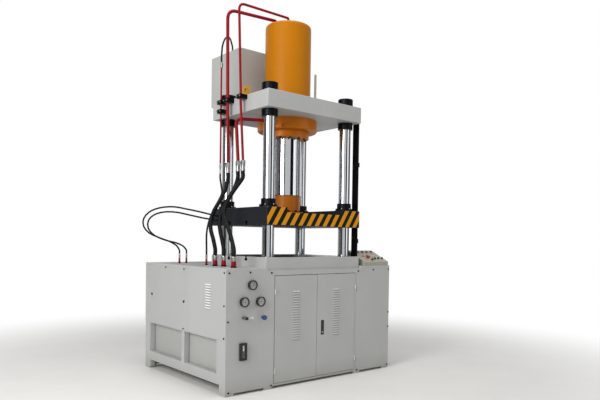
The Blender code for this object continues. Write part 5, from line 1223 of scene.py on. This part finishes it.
def socket_screws():
    """A cylindrical head with a hexagon socket sunk half way into it."""
    tree, given = group("socket_screws", ("Head Diameter", "NodeSocketFloat"), ("Head Height", "NodeSocketFloat"),
                        ("Socket Width", "NodeSocketFloat"), ("Finish", "NodeSocketMaterial"))
    radius = add(tree, "ShaderNodeMath", {"Value": given["Head Diameter"], "Value_001": 0.5}, operation="MULTIPLY")
    hexagon = add(tree, "ShaderNodeMath", {"Value": given["Socket Width"], "Value_001": 1 / math.sqrt(3)},
                  operation="MULTIPLY")
    middle = add(tree, "ShaderNodeMath", {"Value": given["Head Height"], "Value_001": 0.5}, operation="MULTIPLY")
    raised = [add(tree, "ShaderNodeCombineXYZ", {"Z": way}).outputs[0]
              for way in (middle.outputs[0], given["Head Height"])]
    head = add(tree, "GeometryNodeMeshCylinder", {"Vertices": 32, "Radius": radius.outputs[0],
                                                  "Depth": given["Head Height"]})
    pocket = add(tree, "GeometryNodeMeshCylinder", {"Vertices": 6, "Radius": hexagon.outputs[0],
                                                    "Depth": given["Head Height"]})
    lifted = [add(tree, "GeometryNodeTransform", {"Geometry": body.outputs[0], "Translation": way}).outputs[0]
              for body, way in zip((head, pocket), raised)]
    screw = add(tree, "GeometryNodeMeshBoolean", {"Mesh 1": lifted[0], "Mesh 2": lifted[1]},
                operation="DIFFERENCE")
    return set_down(tree, given["Geometry"], screw.outputs[0], given["Finish"])


def on_circle(centre, radius, count, facing, start=0.0):
    """Places round a circle about an upright axis."""
    centre = Vector(centre)
    angles = [start + 2 * math.pi * k / count for k in range(count)]
    return [(centre + Vector((math.cos(angle), math.sin(angle), 0)) * radius, facing) for angle in angles]


SOCKET_SCREWS = socket_screws()
panel_places = [(Vector((x, FRONT_FACE, z)), FRONT) for x, z in GAUGE_SCREWS + RIGHT_SCREWS]
panel_places += [(Vector((LEFT_FACE, y, z)), LEFT) for y, z in LEFT_SCREWS]
clamp_places = [(Vector((CLAMP_FACE, y + side, z)), LEFT) for y, z in CLAMPS
                for side in (-CLAMP_SCREW_SIDE, CLAMP_SCREW_SIDE)]
bush_places = [place for sign_x in (-1, 1) for sign_y in (-1, 1)
               for place in on_circle((COLUMN_AT[0] * sign_x, COLUMN_AT[1] * sign_y, BUSH_FLANGE_Z[1]), BUSH_CIRCLE,
                                      6, UP, math.radians(30))]
foot_places = on_circle((0, 0, FOOT_FLANGE_TOP), FOOT_CIRCLE, 12, UP)
gland_places = on_circle((0, 0, GLAND_FACE), GLAND_CIRCLE, 12, DOWN)
BLACK_SCREW, BRIGHT_SCREW = (BLACK_OXIDE, "blackened_steel"), (ZINC_PLATE, "machined_steel")
# Each kind of screw: places, finish, body, rounding, and the head's diameter and height with the socket's width.
for name, places, (finish, slot), body, edge, (diameter, height, socket) in (
        ("panel_screws", panel_places, BLACK_SCREW, "press_frame", 0.0004, (0.014, 0.0045, 0.006)),
        ("clamp_screws", clamp_places, BRIGHT_SCREW, "press_frame", 0.0005, (0.013, 0.008, 0.006)),
        ("bush_screws", bush_places, BRIGHT_SCREW, "slide_assembly", 0.0004, (0.011, 0.007, 0.005)),
        ("foot_screws", foot_places, BLACK_SCREW, "slide_assembly", 0.0008, (0.024, 0.016, 0.012)),
        ("gland_screws", gland_places, BLACK_SCREW, "press_frame", 0.0006, (0.018, 0.012, 0.009))):
    grown(name, SOCKET_SCREWS, places, finish, slot, body=body, edge=edge, head_diameter=diameter,
          head_height=height, socket_width=socket)

# Studio
# A pale floor under a soft white sky, with large soft lamps from the left, from overhead and from the front right.
# The background is white to the camera, and the floor fades into it away from the machine.
FLOOR_HALF = 14.0
FLOOR_FADE = (1.9, 4.8)
SKY_LIGHT = 0.42
# Each lamp's place, the width of its square in metres, and its power in watts.
SOFT_LAMPS = {"key_light": ((-5.4, -1.6, 3.0), 2.4, 200), "fill_light": ((3.0, -5.2, 2.4), 3.0, 40),
              "top_light": ((-0.6, -0.8, 6.2), 3.4, 130)}
LAMP_AIM = Vector((0, 0, 1.4))
CARD_AWAY, CARD_HEIGHT, CARD_THICK = 6.5, 7.0, 0.02
BLACK_CARD, GREY_CARD = "#1C1F23", "#A4A6A9"
# Each card's angle round the machine in degrees, its width in metres and its colour.
CARDS = ((-84, 3.4, BLACK_CARD), (-170, 4.0, BLACK_CARD), (60, 3.0, BLACK_CARD), (-30, 8.5, GREY_CARD),
         (140, 8.5, GREY_CARD))


def seen_directly(tree):
    """A value of 1 for what the camera, a reflection or glass shows, and of 0 for what only lights the scene."""
    path = add(tree, "ShaderNodeLightPath").outputs
    seen = add(tree, "ShaderNodeMath", {"Value": path["Is Camera Ray"], "Value_001": path["Is Glossy Ray"]},
               operation="ADD")
    return add(tree, "ShaderNodeMath", {"Value": seen.outputs[0], "Value_001": path["Is Transmission Ray"]},
               operation="ADD", use_clamp=True).outputs[0]


def studio_floor():
    """Pale sealed concrete, faintly mottled, that turns plain white with distance for the camera and in metal."""
    paint, tree, shader = material("pale_floor", roughness=0.7)
    place = add(tree, "ShaderNodeTexCoord").outputs["Object"]
    mottle = add(tree, "ShaderNodeTexNoise", {"Vector": place, "Scale": 2.5, "Detail": 6.0})
    tone = add(tree, "ShaderNodeMix", {"Factor_Float": mottle.outputs["Fac"], "A_Color": colour("#DCDBD8"),
                                       "B_Color": colour("#E6E5E2")}, data_type="RGBA")
    feed(tree, shader, {"Base Color": tone.outputs[2]})
    away = add(tree, "ShaderNodeVectorMath", {"Vector": place}, operation="LENGTH")
    fade = add(tree, "ShaderNodeMapRange", {"Value": away.outputs["Value"], "From Min": FLOOR_FADE[0],
                                            "From Max": FLOOR_FADE[1]}, interpolation_type="SMOOTHSTEP")
    amount = add(tree, "ShaderNodeMath", {"Value": fade.outputs[0], "Value_001": seen_directly(tree)},
                 operation="MULTIPLY")
    white = add(tree, "ShaderNodeEmission", {"Color": (1, 1, 1, 1), "Strength": 1.0})
    mixed = add(tree, "ShaderNodeMixShader", {"Fac": amount.outputs[0]})
    tree.links.new(shader.outputs[0], mixed.inputs[1])
    tree.links.new(white.outputs[0], mixed.inputs[2])
    tree.links.new(mixed.outputs[0], tree.nodes["Material Output"].inputs["Surface"])
    return paint


def studio_sky():
    """White where it is seen, and dimmer where it lights the machine."""
    world = bpy.data.worlds.new("white_sky")
    bpy.context.scene.world = world
    world.use_nodes = True
    tree = world.node_tree
    strength = add(tree, "ShaderNodeMapRange", {"Value": seen_directly(tree), "To Min": SKY_LIGHT, "To Max": 1.0})
    feed(tree, tree.nodes["Background"], {"Color": (1, 1, 1, 1), "Strength": strength.outputs[0]})


def soft_lamp(name, place, size, power):
    """A square lamp that faces the middle of the machine."""
    lamp = bpy.data.lights.new(name, "AREA")
    lamp.size = size
    lamp.energy = power
    aim = (LAMP_AIM - Vector(place)).to_track_quat("-Z", "Y").to_matrix().to_4x4()
    placed(name, lamp).matrix_world = Matrix.Translation(Vector(place) + AXIS) @ aim


def studio_cards():
    """Cards that stand upright outside the picture, as a photographer sets them. Only shiny things show them."""
    tones = {code: material("card_" + code[1:].lower(), base_color=colour(code), roughness=1.0,
                            specular_ior_level=0.0)[0] for code in (BLACK_CARD, GREY_CARD)}
    for number, (angle, width, code) in enumerate(CARDS):
        away = Vector((math.cos(math.radians(angle)), math.sin(math.radians(angle)), 0))
        sheet = bmesh.new()
        block(sheet, (-CARD_THICK / 2, CARD_THICK / 2), (-width / 2, width / 2), (0, CARD_HEIGHT),
              turn=Matrix.Translation(away * CARD_AWAY + AXIS) @ Matrix.Rotation(math.radians(angle), 4, "Z"))
        card = built(f"studio_card_{number}", sheet, [tones[code]])
        card.visible_camera = card.visible_diffuse = card.visible_shadow = False


ground = bmesh.new()
bmesh.ops.create_grid(ground, x_segments=1, y_segments=1, size=FLOOR_HALF)
floor = built("studio_floor", ground, [studio_floor()])
studio_sky()
for name, (place, size, power) in SOFT_LAMPS.items():
    soft_lamp(name, place, size, power)
studio_cards()
bpy.context.scene.view_settings.view_transform = "Standard"
